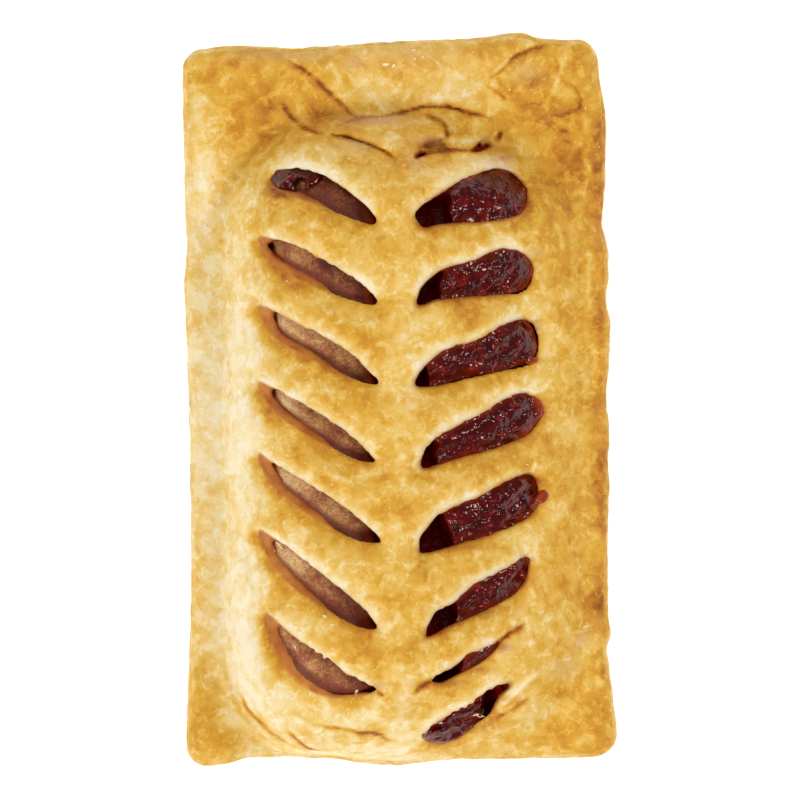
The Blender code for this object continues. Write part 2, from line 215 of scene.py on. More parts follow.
# %% The cuts on the sauce side
# Each cut: its back edge from the inner tip out, and its front edge back in
RIGHT_CUTS = (
    (
        ((3.2, 34.0), (3.6, 35.8), (7.4, 38.8), (13.2, 42.0), (19.0, 43.8), (23.0, 41.6)),
        ((23.9, 38.0), (22.4, 35.3), (16.7, 33.9), (7.8, 33.2), (4.6, 32.5)),
    ),
    (
        ((3.1, 18.4), (5.4, 22.4), (9.0, 24.8), (13.2, 25.9), (19.4, 28.3), (23.7, 27.2)),
        ((25.0, 24.2), (23.1, 21.0), (16.7, 19.9), (7.8, 19.1), (4.4, 17.9)),
    ),
    (
        ((2.9, 3.4), (5.4, 6.9), (10.5, 10.0), (14.5, 11.0), (19.5, 13.9), (23.4, 15.1)),
        ((25.6, 12.2), (25.2, 8.0), (21.8, 6.5), (12.8, 4.3), (5.0, 2.6)),
    ),
    (
        ((4.0, -12.0), (5.9, -8.4), (10.5, -5.2), (16.3, -2.4), (20.5, 0.2), (24.2, 0.9)),
        ((26.4, -2.4), (24.5, -6.0), (18.3, -8.9), (9.7, -11.2), (5.2, -12.8)),
    ),
    (
        ((3.7, -27.8), (5.6, -23.8), (9.5, -20.6), (14.9, -18.4), (20.0, -15.5), (24.6, -14.2)),
        ((26.2, -17.4), (24.6, -21.8), (19.0, -24.6), (12.1, -26.8), (5.0, -28.7)),
    ),
    (
        ((4.9, -43.9), (7.2, -40.0), (10.0, -38.5), (14.0, -35.2), (20.0, -32.2), (24.0, -29.9)),
        ((24.0, -33.4), (21.7, -36.5), (15.3, -40.0), (9.7, -42.5), (5.8, -44.5)),
    ),
    (
        ((6.0, -53.1), (8.6, -51.5), (11.3, -49.6), (14.5, -47.6), (17.0, -46.6), (18.6, -45.8)),
        ((18.0, -47.0), (16.6, -48.4), (14.4, -49.9), (12.2, -51.0), (10.0, -52.2), (7.7, -53.3)),
    ),
    (
        (
            (4.9, -63.6), (6.6, -61.6), (8.9, -60.0), (12.0, -58.7), (14.8, -57.0), (17.4, -55.0),
            (20.9, -53.9),
        ),
        (
            (18.9, -56.0), (17.0, -59.2), (14.4, -61.0), (12.4, -62.8), (10.2, -64.5), (7.6, -65.0),
            (5.6, -64.4),
        ),
    ),
)

print(len(RIGHT_CUTS), "cuts on the sauce side")

# %% [markdown]
# ## A plan of the crust
#
# Everything the crust does is decided in plan first, on one fine lattice: how high the roof stands, how
# far each place is from a cut, and which edge of the cut is the nearer. The shape and the colours then
# both read the same plan, which keeps the browning exactly where the shape calls for it.

# %% The lattice, and distances to lines drawn on it
VOXEL = 0.42
LOW_CORNER = np.array([-44.5, -72.5, -1.5])
HIGH_CORNER = (44.5, 72.5, 30.5)


def lattice(low, high, step):
    """The three axes of a block of points, and the plan coordinates of its columns."""
    axes = [np.arange(a, b, step) for a, b in zip(low, high)]
    return (*axes, *np.meshgrid(axes[0], axes[1], indexing="ij"))


xs, ys, zs, plan_x, plan_y = lattice(LOW_CORNER, HIGH_CORNER, VOXEL)


def at(plane, x, y):
    """A plane of the plan, read at any places by blending its four nearest lattice points."""
    u = np.clip((x - LOW_CORNER[0]) / VOXEL, 0.0, len(xs) - 1.001)
    v = np.clip((y - LOW_CORNER[1]) / VOXEL, 0.0, len(ys) - 1.001)
    i, j = u.astype(int), v.astype(int)
    a, b = u - i, v - j
    near = plane[i, j] * (1.0 - a) + plane[i + 1, j] * a
    return near * (1.0 - b) + (plane[i, j + 1] * (1.0 - a) + plane[i + 1, j + 1] * a) * b


def smooth_chain(points, closed=False, steps=5):
    """More points along a chain, on a Catmull-Rom curve through the given ones."""
    p = np.array(points, dtype=float)
    before, after = (p[-1:], p[:2]) if closed else (2 * p[:1] - p[1:2], 2 * p[-1:] - p[-2:-1])
    p = np.vstack([before, p, after])
    t = np.linspace(0.0, 1.0, steps, endpoint=False)[:, None]
    parts = []
    for a, b, c, d in zip(p, p[1:], p[2:], p[3:]):
        parts.append(b + 0.5 * t * (c - a + t * (2 * a - 5 * b + 4 * c - d + t * (3 * (b - c) + d - a))))
    last = p[1:2] if closed else p[-2:-1]
    return np.vstack([*parts, last])


def beside(chain, x=plan_x, y=plan_y):
    """Distance to a chain of points, positive on its left as it runs, and the share run so far."""
    near = np.full(np.shape(x), 1e9)
    signed, share = np.zeros(np.shape(x)), np.zeros(np.shape(x))
    spans = len(chain) - 1
    for k, ((ax, ay), (bx, by)) in enumerate(zip(chain, chain[1:])):
        run_x, run_y = bx - ax, by - ay
        length = math.hypot(run_x, run_y) + 1e-9
        raw = ((x - ax) * run_x + (y - ay) * run_y) / length**2
        t = np.clip(raw, 0.0, 1.0)
        distance = np.hypot(x - ax - t * run_x, y - ay - t * run_y)
        left = (y - ay) * run_x - (x - ax) * run_y
        closer = distance < near
        near = np.where(closer, distance, near)
        signed = np.where(closer, np.where(left < 0.0, -distance, distance), signed)
        open_end = raw if k in (0, spans - 1) else t
        share = np.where(closer, (k + open_end) / spans, share)
    return signed, share


def beyond(loop, x=plan_x, y=plan_y):
    """Distance outside a closed loop of points, negative inside it."""
    inside = np.zeros(np.shape(x), dtype=bool)
    for (ax, ay), (bx, by) in zip(loop, loop[1:]):
        if ay != by:
            crosses = (ay > y) != (by > y)
            inside ^= crosses & (x < ax + (y - ay) * (bx - ax) / (by - ay))
    distance = np.abs(beside(loop, x, y)[0])
    return np.where(inside, -distance, distance)


def through(t, points):
    """A smooth curve through a few (place, value) points, read at each t."""
    curve = smooth_chain(points)
    return np.interp(t, curve[:, 0], curve[:, 1])


print("lattice:", len(xs), "x", len(ys), "x", len(zs), "points, one every", VOXEL, "mm")

# %% The four sides of the dough and the pocket inside it


def inside_corner(over_x, over_y, radius):
    """Distance outside a round-cornered corner, from the distances outside its two sides."""
    over_x, over_y = over_x + radius, over_y + radius
    corner = np.hypot(np.maximum(over_x, 0.0), np.maximum(over_y, 0.0))
    return corner + np.minimum(np.maximum(over_x, over_y), 0.0) - radius


def beyond_sides(x, y):
    """Distance outside the dough in plan, negative inside it."""
    over_x = np.maximum(x - through(y, RIGHT_SIDE), through(y, LEFT_SIDE) - x)
    over_y = np.maximum(y - through(x, BACK_SIDE), through(x, FRONT_SIDE) - y)
    return inside_corner(over_x, over_y, CORNER_RADIUS) + 0.12 * uneven(x, y, 2.2, 71) - 0.1


def beyond_pocket(x, y):
    """The same for the pocket that holds the filling."""
    over_x = np.abs(x - (POCKET_LEFT + POCKET_RIGHT) / 2) - (POCKET_RIGHT - POCKET_LEFT) / 2
    over_y = np.abs(y - (POCKET_BACK + POCKET_FRONT) / 2) - (POCKET_BACK - POCKET_FRONT) / 2
    return inside_corner(over_x, over_y, POCKET_CORNER)


middle_width = through(0.0, RIGHT_SIDE) - through(0.0, LEFT_SIDE)
print("the dough is", round(float(middle_width), 1), "mm wide at its middle")

# %% Distances to the cuts
far = np.full(plan_x.shape, 99.0)
opening, foot, left_opening, right_opening = far.copy(), far.copy(), far.copy(), far.copy()
behind_cut, roll = np.full(plan_x.shape, 0.5), np.zeros(plan_x.shape)
# How much each cut narrows from the crust down to the foot of its walls on the sauce side
RIGHT_WALL_SLOPE = 0.25
# How far the crisp back edge has shrunk back from the cut
SHRUNK_BACK = 0.4
# A strip rolls down to the cut in front of it in a tight curve, and to the cut behind it in a long one
TIGHT_ROLL = (1.0, 1.6)
LONG_ROLL = (1.7, 3.4)

for cut in LEFT_CUTS + RIGHT_CUTS:
    back_edge = np.abs(beside(smooth_chain(cut[0]))[0])
    front_edge = np.abs(beside(smooth_chain(cut[0][-1:] + cut[1] + cut[0][:1]))[0])
    # 1 where the back edge of the cut is the nearer one, and 0 where its front edge is
    behind = ease(0.5 + (front_edge - back_edge) / 2.4)
    top = beyond(smooth_chain(cut[0] + cut[1], closed=True))
    if len(cut) == 3:
        low = beyond(smooth_chain(cut[0][1:] + cut[2], closed=True))
        left_opening = np.minimum(left_opening, top)
    else:
        top = top - SHRUNK_BACK * behind
        low = top + RIGHT_WALL_SLOPE
        right_opening = np.minimum(right_opening, top)
    opening, foot = np.minimum(opening, top), np.minimum(foot, low)
    behind_cut = np.where(top == opening, behind, behind_cut)
    away = np.maximum(top, 0.0)
    roll += behind * TIGHT_ROLL[0] * bell(away, TIGHT_ROLL[1])
    roll += (1.0 - behind) * LONG_ROLL[0] * bell(away, LONG_ROLL[1])

print("the cuts open", round(float((opening < 0).sum()) * VOXEL**2 / 100.0, 1), "square centimetres")

# %% The roof


def dome(x, y):
    """1 on the crest of the roof, 0 where the roof meets the flat rim, and less than 0 outside."""
    side = np.abs(x - CREST_X) / np.where(x < CREST_X, CREST_X - DOME_LEFT, DOME_RIGHT - CREST_X)
    end = np.maximum(y - (DOME_BACK - DOME_END_LENGTH), (DOME_FRONT + DOME_END_LENGTH) - y) / DOME_END_LENGTH
    inside = 1.0 - np.hypot(side, np.maximum(end, 0.0)) ** DOME_SQUARENESS
    fall = np.where(x < CREST_X, LEFT_FALL, RIGHT_FALL)
    return np.sign(inside) * np.abs(inside) ** fall


def roof_height(x, y):
    return larger(RIM_HEIGHT + (CREST_HEIGHT - RIM_HEIGHT) * dome(x, y), RIM_HEIGHT, DOME_FILLET)


print("roof over the sausage:", round(float(roof_height(np.float64(-14.0), np.float64(0.0))), 1), "mm")

# %% [markdown]
# ## Folds, laps and creases
#
# Cuts of the same lattice that lie past the filling never open. They bake shut: the strip behind laps
# over the strip in front, and a dark line marks the foot of the step. That line is partly browning and
# partly painted shade, and the low side below it is painted amber as shade. Behind the first pair of cuts
# the two arms of a strip crossed as tongues, one over the other. The dough also creases where it is
# stretched round the front end of the sausage, and its top leaf has cracked along the right rim.

# %% Laps, tongues, creases and cracks
# Each lap: its chain of points with the higher side on the right, and its height
LAPS = (
    (((-6.6, 52.2), (-8.2, 53.9), (-11.2, 57.0), (-14.4, 60.2), (-18.0, 63.0), (-24.4, 67.2)), 0.7),
    (
        (
            (18.6, 53.6), (14.0, 55.0), (9.0, 56.2), (5.5, 56.5), (2.6, 55.9), (0.0, 55.2), (-4.0, 54.2),
            (-8.8, 54.0), (-13.0, 52.6),
        ),
        1.2,
    ),
    (((-23.9, 57.6), (-21.6, 54.5), (-19.4, 52.0), (-17.6, 50.9), (-14.0, 50.3)), 0.7),
    (
        (
            (0.6, -65.2), (-1.8, -64.1), (-3.4, -63.2), (-5.4, -62.6), (-7.6, -62.8), (-9.0, -62.1),
            (-11.0, -61.6), (-14.0, -61.2), (-18.5, -60.4),
        ),
        1.0,
    ),
    (
        (
            (-3.5, -69.6), (-8.0, -68.9), (-12.0, -68.0), (-15.2, -66.7), (-17.6, -65.3), (-20.2, -63.2),
            (-21.6, -62.2),
        ),
        0.8,
    ),
    (
        (
            (-20.6, -65.4), (-22.4, -64.2), (-24.6, -62.4), (-26.0, -61.0), (-28.0, -59.4),
            (-29.4, -57.4), (-31.0, -54.8),
        ),
        0.8,
    ),
    (((20.6, 57.6), (18.6, 59.2), (16.5, 60.6)), 0.5),
    (((29.0, 68.4), (25.0, 67.4), (22.0, 66.0), (19.4, 63.6), (16.3, 61.4)), 0.6),
    (
        (
            (27.6, 54.0), (31.0, 54.2), (34.0, 55.4), (34.8, 57.4), (33.6, 60.0), (31.4, 61.4),
            (30.4, 64.4), (31.4, 66.8),
        ),
        0.3,
    ),
    (((24.6, -56.0), (22.5, -57.6), (20.0, -59.2), (17.6, -60.4)), 0.4),
    (((24.2, -41.6), (21.8, -43.1), (20.4, -44.2), (19.2, -45.4), (17.0, -47.2)), 0.9),
)
# Each tongue: its outline and its height
TONGUES = (
    (
        (
            (-1.0, 54.9), (4.0, 56.1), (9.0, 56.0), (14.0, 54.9), (17.5, 53.6), (17.8, 51.4),
            (16.6, 49.9), (13.5, 48.9), (9.5, 48.6), (4.0, 48.6), (0.0, 52.0),
        ),
        1.3,
    ),
    (
        (
            (-13.6, 50.5), (-10.6, 52.7), (-6.0, 53.9), (-1.0, 54.7), (3.4, 54.4), (6.6, 53.0),
            (8.4, 50.9), (7.4, 49.6), (5.2, 48.7), (3.6, 47.6), (2.6, 45.4), (0.6, 43.6), (-0.6, 45.6),
            (-3.0, 47.2), (-6.4, 48.8), (-10.0, 49.9),
        ),
        2.7,
    ),
    (
        (
            (17.4, -59.8), (18.4, -57.4), (20.2, -55.0), (22.5, -53.3), (25.0, -51.4), (26.4, -51.4),
            (25.6, -53.2), (23.0, -55.4), (20.4, -57.6),
        ),
        0.8,
    ),
)
# Thin pale lines where the top leaf is scratched or rucked
SCRATCHES = (
    ((24.0, 1.0), (26.8, 2.2), (29.6, 4.6)),
    ((21.6, 1.2), (24.6, 2.4), (25.8, 4.2)),
    ((24.4, -14.4), (25.2, -12.8), (26.2, -11.2)),
    ((22.0, -30.2), (24.6, -29.6), (25.6, -28.2), (25.8, -26.4)),
    ((18.8, -58.6), (20.4, -57.2), (22.2, -55.4), (24.0, -53.4), (26.2, -51.8)),
    ((17.6, -57.4), (19.0, -58.6), (19.2, -59.6)),
    ((34.8, -43.8), (36.0, -43.2), (37.2, -43.0)),
    ((30.8, -49.8), (32.4, -49.2)),
    ((4.6, -49.6), (4.4, -51.2), (5.2, -52.6)),
    ((25.6, -38.0), (25.2, -36.4), (24.6, -35.2)),
    ((16.4, 61.6), (19.0, 63.4), (21.4, 66.2), (24.8, 67.8), (28.4, 68.4)),
    ((30.5, 66.4), (31.0, 63.6), (30.2, 61.6), (29.2, 59.0), (28.2, 56.6), (28.0, 54.2)),
    ((-13.4, 65.6), (-12.8, 63.4), (-11.6, 61.2), (-10.8, 58.8)),
    ((-15.0, 3.0), (-13.2, 1.6), (-11.8, 2.4)),
    ((-12.6, -13.8), (-10.6, -14.8), (-8.6, -16.0)),
    ((28.6, 34.6), (30.4, 31.6), (31.0, 28.4)),
)
# Each crease: its chain of points, its depth and its half width
CREASES = (
    (((2.6, 45.6), (3.4, 46.2), (4.2, 46.6), (5.2, 46.9)), 2.4, 0.34),
    (((3.6, 46.6), (6.0, 47.1), (8.5, 47.5), (11.5, 47.6), (14.0, 47.4)), 1.2, 0.36),
    (((3.8, 47.4), (5.4, 48.2), (7.0, 48.9), (8.8, 49.5)), 1.95, 1.1),
    (((13.0, 47.4), (14.6, 47.6), (15.8, 48.1), (17.6, 48.9)), 2.9, 0.36),
    (((14.0, 47.6), (15.0, 48.4), (15.4, 49.3)), 2.4, 0.3),
    (((17.9, 49.4), (18.9, 50.2), (19.4, 51.5)), 0.9, 0.4),
    (((-13.6, 50.4), (-10.5, 50.0), (-8.5, 49.4), (-5.6, 48.4), (-2.6, 47.0), (0.4, 44.6)), 0.6, 0.32),
    (((-18.0, 51.0), (-10.5, 50.2), (-5.6, 48.4), (-2.0, 46.4), (0.8, 43.6)), 1.1, 2.2),
    (((2.4, 44.6), (5.0, 47.0), (10.5, 48.2), (16.0, 48.4), (19.0, 47.0)), 1.2, 2.0),
    (((3.6, 54.9), (6.4, 53.8), (8.4, 52.4), (9.0, 50.4), (8.6, 49.2)), 0.9, 0.4),
    (((-9.2, 66.4), (-7.8, 65.0), (-6.0, 62.9)), 0.35, 0.4),
    (((2.6, -55.9), (3.6, -54.4), (5.0, -53.4), (6.6, -52.9)), 0.9, 0.45),
    (((17.8, -46.4), (19.4, -45.1), (21.2, -43.6)), 0.9, 0.3),
    (((-4.9, -54.6), (-3.8, -55.4), (-3.0, -56.0)), 0.7, 0.4),
    (((-26.2, -36.5), (-27.4, -41.0), (-27.0, -45.0), (-25.4, -50.5), (-22.0, -56.0)), 0.4, 0.9),
    (((-36.0, -51.5), (-33.0, -56.0), (-30.6, -59.8), (-27.0, -62.0)), 0.5, 1.3),
    (((-31.5, -21.0), (-29.0, -28.5), (-27.6, -34.0), (-25.6, -39.0)), 0.4, 0.9),
    (((-28.6, 5.6), (-27.2, 4.6), (-26.0, 3.6)), 0.6, 0.7),
    (((-28.4, -8.6), (-27.2, -9.2), (-26.0, -10.2)), 0.6, 0.7),
    (((-28.2, 19.2), (-27.0, 18.8), (-25.8, 18.0)), 0.6, 0.7),
    (((-28.6, 31.6), (-27.2, 31.4), (-26.0, 31.0)), 0.6, 0.7),
    (
        (
            (38.0, 60.5), (36.6, 57.0), (37.0, 52.5), (37.6, 47.0), (36.4, 40.0), (36.4, 34.0),
            (37.2, 26.0), (37.6, 19.0), (37.0, 12.0), (36.8, 3.0), (38.0, -3.0), (37.6, -12.0),
            (37.0, -22.0), (38.4, -34.0),
        ),
        0.45,
        0.8,
    ),
    (((37.8, -51.0), (37.4, -55.0), (38.6, -59.0), (38.0, -63.0)), 0.45, 0.8),
)
# Each crack of the top leaf: its chain of points
CRACKS = (
    ((34.6, 55.2), (35.3, 53.0), (35.6, 51.8)),
    ((36.8, 48.2), (35.4, 46.6), (36.0, 44.0), (35.2, 40.6), (35.6, 37.0)),
    ((35.9, 29.0), (36.6, 26.4), (35.9, 22.0), (36.4, 17.0)),
    ((36.8, 10.5), (37.1, 7.0), (36.6, 4.0)),
    ((37.2, -50.0), (38.0, -52.5), (38.3, -54.5)),
)
LAP_FRONT = 0.55
LAP_FADE = 5.0
TONGUE_ROUND = 2.6
WIDEST_LINE = 0.7
LEAST_PIT = 2.0
CRACK_HALF_WIDTH = 0.4
SCRATCH_HALF_WIDTH = 0.34


def end_fade(share, width=0.18):
    """1 along a chain and 0 past its ends."""
    return ease(share / width) * ease((1.0 - share) / width)


torn = 0.22 * uneven(plan_x, plan_y, 2.5, 41) + 0.14 * uneven(plan_x, plan_y, 0.9, 42)
lift, line, low_side_shade, pit_shade, scratch = (0.0 * plan_x for _ in range(5))
for chain, height in LAPS:
    off, share = beside(smooth_chain(chain))
    off = torn - off
    here = end_fade(share) * (0.8 + 0.35 * uneven(plan_x, plan_y, 4.0, 43))
    lift += height * ease(off / LAP_FRONT + 0.5) * bell(np.maximum(off, 0.0), LAP_FADE) * here
    # A dark line at the foot of each step, partly browning and partly painted shade, and painted shade on the
    # low side below it
    line += min(1.2 * height, 1.1) * bell(off + 0.34, 0.3) * here
    low_side_shade += min(height, 1.1) * ease(-off / 0.3) * bell(off, 1.3) * here
tongue, bare = 0.0 * plan_x, 0.0 * plan_x
for loop, height in TONGUES:
    deep = -beyond(smooth_chain(loop, closed=True)) - 0.6 * torn
    inside = ease(deep / 0.5)
    rounded = np.sqrt(1.0 - (1.0 - np.clip(deep / TONGUE_ROUND, 0.0, 1.0)) ** 2)
    tongue = tongue * (1.0 - inside) + height * (0.3 * inside + 0.7 * rounded)
    bare = np.maximum(bare, inside * (height < 1.0))
for chain, deep, wide in CREASES:
    off, share = beside(smooth_chain(chain))
    groove = bell(off + min(wide, 1.0) * torn, wide) * end_fade(share, 0.25)
    lift -= deep * groove
    # Narrow creases get the same dark line, partly browning and partly painted shade, and the deepest ones
    # are painted near-black as shade in the pits
    if wide < WIDEST_LINE:
        line += min(deep, 1.2) * groove
    if deep > LEAST_PIT:
        pit_shade = np.maximum(pit_shade, ease(groove / 0.6))
crack = 0.0 * plan_x
for chain in CRACKS:
    off, share = beside(smooth_chain(chain))
    crack = np.maximum(crack, bell(off + 2.0 * torn, CRACK_HALF_WIDTH) * end_fade(share, 0.1))
for chain in SCRATCHES:
    off, share = beside(smooth_chain(chain))
    scratch = np.maximum(scratch, bell(off + torn, SCRATCH_HALF_WIDTH) * end_fade(share, 0.2))
lift += tongue + 0.12 * crack + 0.12 * scratch
print(len(LAPS), "laps,", len(TONGUES), "tongues,", len(CREASES), "creases and", len(CRACKS), "cracks")

# %% The height of the crust
crust = roof_height(plan_x, plan_y) - roll
crust += 0.4 * uneven(plan_x, plan_y, 17.0, 11) + 0.26 * uneven(plan_x, plan_y, 7.0, 12)
# The cut sides of the dough rose by different amounts
near_side = ease((beyond_sides(plan_x, plan_y) + 7.0) / 5.0)
crust += (0.7 * uneven(plan_x, plan_y, 12.0, 13) + 0.3 * uneven(plan_x, plan_y, 4.5, 14)) * near_side
crust += lift
print("crust from", round(float(crust.min()), 1), "to", round(float(crust.max()), 1), "mm high")

# %% [markdown]
# ## The sausage and the sauce in plan
#
# The dough lies close round the sausage, so the sausage's own size is needed before the dough is
# hollowed. The sauce stands level with the underside of the roof on the right, wells up a little into
# every cut, and has sunk beside the sausage, where the inner end of each cut looks into a dark hollow.

# %% The filling's sizes
SAUSAGE_RADIUS = 10.2
SAUSAGE_X = -14.0
SAUSAGE_BACK = 44.5
SAUSAGE_FRONT = -58.0
FRONT_CAP_LENGTH = 8.0
BACK_CAP_LENGTH = 24.0
SAUSAGE_FLATTENING = 0.97
# The dough pressed its right side squarer than its left
LEFT_ROUNDNESS = 2.7
RIGHT_ROUNDNESS = 3.0
SAUSAGE_SPREAD = 1.09
SAUSAGE_SWAY = 0.5
SAUSAGE_SWAY_LENGTH = 17.0
# The filling rests this high, just clear of the dough's base
FILLING_FLOOR = 3.35
SAUSAGE_Z = FILLING_FLOOR + SAUSAGE_RADIUS * SAUSAGE_FLATTENING
DOUGH_CLEARANCE = 0.2
LEAST_ROOF = 2.6


def beyond_sausage(x, y, z):
    """Distance outside the sausage, negative inside it."""
    middle = (SAUSAGE_BACK + SAUSAGE_FRONT) / 2
    half = (SAUSAGE_BACK - SAUSAGE_FRONT) / 2
    along = y - middle
    cap_length = np.where(along > 0.0, BACK_CAP_LENGTH, FRONT_CAP_LENGTH)
    into_cap = np.maximum(np.abs(along) - (half - cap_length), 0.0) / cap_length
    taper = np.sqrt(np.maximum(1.0 - 0.93 * into_cap**4, 0.0))
    centre_x = SAUSAGE_X + SAUSAGE_SWAY * np.sin(along / SAUSAGE_SWAY_LENGTH)
    power = np.where(x < centre_x, LEFT_ROUNDNESS, RIGHT_ROUNDNESS)
    across = np.abs((x - centre_x) / SAUSAGE_SPREAD) ** power
    upright = np.abs((z - SAUSAGE_Z) / SAUSAGE_FLATTENING) ** power
    around = (across + upright) ** (1.0 / power) - SAUSAGE_RADIUS * taper
    return larger(around, np.abs(along) - half, 1.0)


print("sausage top:", round(SAUSAGE_Z + SAUSAGE_RADIUS * SAUSAGE_FLATTENING, 1), "mm")

# %% [markdown]
# ## The dough as one solid
#
# A grid of quads can't follow fifteen slits with rolled lips, and Booleans leave ragged rims on soft
# shapes. So the dough is first described as a field: a number at every point of a fine lattice that
# says how far the point is outside the dough. Fields join with fillets for free. OpenVDB then lays one
# closed skin of quads where the field is nought, with the walls of the slits and the pocket inside.

# %% The outside of the dough
ROUND_TOP_EDGE = 3.2
ROUND_FOOT = 0.8
SIDE_SWELL = 0.06

slope_x, slope_y = np.gradient(crust, VOXEL)
flatten = (1.0 / np.sqrt(1.0 + np.clip(slope_x**2 + slope_y**2, 0.0, 4.0)))[:, :, None]
above = (zs - crust[:, :, None]) * flatten
swell = SIDE_SWELL * (np.clip(zs, 0.0, RIM_HEIGHT) - RIM_HEIGHT / 2) ** 2
dough = larger(above, beyond_sides(plan_x, plan_y)[:, :, None] + swell, ROUND_TOP_EDGE)
dough = larger(dough, -zs, ROUND_FOOT)
print("dough before hollowing:", round(float((dough < 0).sum()) * VOXEL**3 / 1000.0, 1), "cubic centimetres")

# %% The room inside for the filling
ceiling = np.maximum(roof_height(plan_x, plan_y) - ROOF_THICKNESS, BASE_THICKNESS + POCKET_LEAST_HEIGHT)
sauce_room = larger((zs - ceiling[:, :, None]) * flatten, BASE_THICKNESS - zs, 0.5)
beside_sausage = np.maximum(beyond_pocket(plan_x, plan_y), SAUSAGE_X - plan_x)
sauce_room = larger(sauce_room, beside_sausage[:, :, None], 2.0)
sausage_room = beyond_sausage(plan_x[:, :, None], plan_y[:, :, None], zs) - DOUGH_CLEARANCE
sausage_room = larger(sausage_room, zs - (crust - LEAST_ROOF)[:, :, None], 0.5)
room = smaller(sauce_room, sausage_room, 1.0)
print("room for the filling:", round(float((room < 0).sum()) * VOXEL**3 / 1000.0, 1), "cubic centimetres")

# %% [markdown]
# ### Opening the cuts
#
# A cut isn't a straight-sided hole. The strips between the cuts tilted like slats as the filling pushed
# them up, so on the sausage side each cut's front wall slopes in under the opening and shows as a tan
# band. The back edge of a cut is crisp and ragged, where the cutter parted it and the leaves flaked,
# and its front edge is rolled over and soft.

# %% Cut the slits
SOFT_LIP = 1.8
CRISP_LIP = 0.4
WALL_DEPTH = 2.0
LEFT_CUT_DEPTH = 9.0
RIGHT_CUT_DEPTH = 13.0

ragged = 0.2 * uneven(plan_x, plan_y, 0.8, 21) + 0.16 * uneven(plan_x, plan_y, 2.4, 22)
ragged *= 0.35 + (0.65 + 1.1 * ease((-43.0 - plan_y) / 2.0)) * behind_cut
down = crust[:, :, None] - zs
into_wall = np.clip(down / WALL_DEPTH, 0.0, 1.0)
gap = opening[:, :, None] + (foot - opening)[:, :, None] * into_wall + ragged[:, :, None]
deepest = np.where(left_opening < right_opening, LEFT_CUT_DEPTH, RIGHT_CUT_DEPTH)[:, :, None]
room = smaller(room, larger(gap, down - deepest, 1.0), 0.6)
lip = SOFT_LIP + (CRISP_LIP - SOFT_LIP) * behind_cut
lip = np.where(opening < 5.0, lip, 1.0)
dough = larger(dough, -room, lip[:, :, None])
print("dough:", round(float((dough < 0).sum()) * VOXEL**3 / 1000.0, 1), "cubic centimetres")

# %% [markdown]
# ### From field to mesh
#
# The skin has a point every 0.42 mm, which is fine enough for the small blisters. Most of its quads lie
# where nobody looks, on the flat underside and round the filling. Those are thinned hard, so that the
# whole crust stays under two hundred thousand triangles with all its relief.

# %% Helpers for meshes


def mesh_from_field(name, field, corner, step):
    """One closed mesh in millimetres where the field is nought."""
    grid = vdb.FloatGrid(background=3.0)
    grid.copyFromArray(np.clip(field, -3.0, 3.0).astype(np.float32))
    grid.transform = vdb.createLinearTransform(voxelSize=step)
    points, triangles, quads = grid.convertToPolygons(isovalue=0.0, adaptivity=0.0)
    mesh = bpy.data.meshes.new(name)
    mesh.from_pydata((points + corner).tolist(), [], [*triangles.tolist(), *quads.tolist()])
    mesh.polygons.foreach_set("use_smooth", np.ones(len(mesh.polygons), dtype=bool))
    mesh.update()
    places, normals = read_mesh(mesh)
    if np.sum((places - places.mean(axis=0)) * normals) < 0.0:
        mesh.flip_normals()
    return mesh


def read_mesh(mesh):
    """The points of a mesh and their normals, as two numpy tables."""
    places, normals = np.empty(len(mesh.vertices) * 3), np.empty(len(mesh.vertices) * 3)
    mesh.vertices.foreach_get("co", places)
    mesh.vertex_normals.foreach_get("vector", normals)
    return places.reshape(-1, 3), normals.reshape(-1, 3)


def move_points(mesh, places):
    mesh.vertices.foreach_set("co", np.ascontiguousarray(places).ravel())
    mesh.update()


def paint(mesh, name, values):
    """Stores a number at every point of a mesh, for its material to read."""
    attribute = mesh.attributes.new(name, "FLOAT", "POINT")
    attribute.data.foreach_set("value", np.asarray(values, dtype=np.float32))


def new_piece(name, mesh, material_slot, material, *nodes):
    """Adds a mesh to the scene as a piece of the roll that stands for these CAD nodes."""
    piece = bpy.data.objects.new(name, mesh)
    bpy.context.scene.collection.objects.link(piece)
    mesh.materials.append(material)
    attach(piece, "root")
    if nodes:
        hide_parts(*nodes)
    return piece


def thin_out(mesh, hidden, keep):
    """Thins a mesh where `hidden` is true, or all over if it is None, to `keep` of its faces there."""
    holder = bpy.data.objects.new("thinning", mesh)
    bpy.context.scene.collection.objects.link(holder)
    modifier = holder.modifiers.new("thin", "DECIMATE")
    modifier.ratio = keep
    if hidden is not None:
        holder.vertex_groups.new(name="hidden").add(np.flatnonzero(hidden).tolist(), 1.0, "REPLACE")
        modifier.vertex_group = "hidden"
        modifier.ratio = 1.0 - float(hidden.mean()) * (1.0 - keep)
    graph = bpy.context.evaluated_depsgraph_get()
    thinned = bpy.data.meshes.new_from_object(holder.evaluated_get(graph))
    bpy.data.objects.remove(holder)
    bpy.data.meshes.remove(mesh)
    return thinned


def count_triangles(mesh):
    return sum(len(polygon.vertices) - 2 for polygon in mesh.polygons)


print("each skin is made whole first, and thinned where it is hidden")

# %% [markdown]
# ### Fine relief
#
# The last half millimetre is what makes it pastry: low blisters where steam lifted the top leaf, the
# edges of leaves that parted, a faint orange peel from the egg wash, and the layers that show along the
# cut sides. It is pushed out along the surface's own normal after skinning, so that it stays crisp.

# %% Blisters, leaves and layers


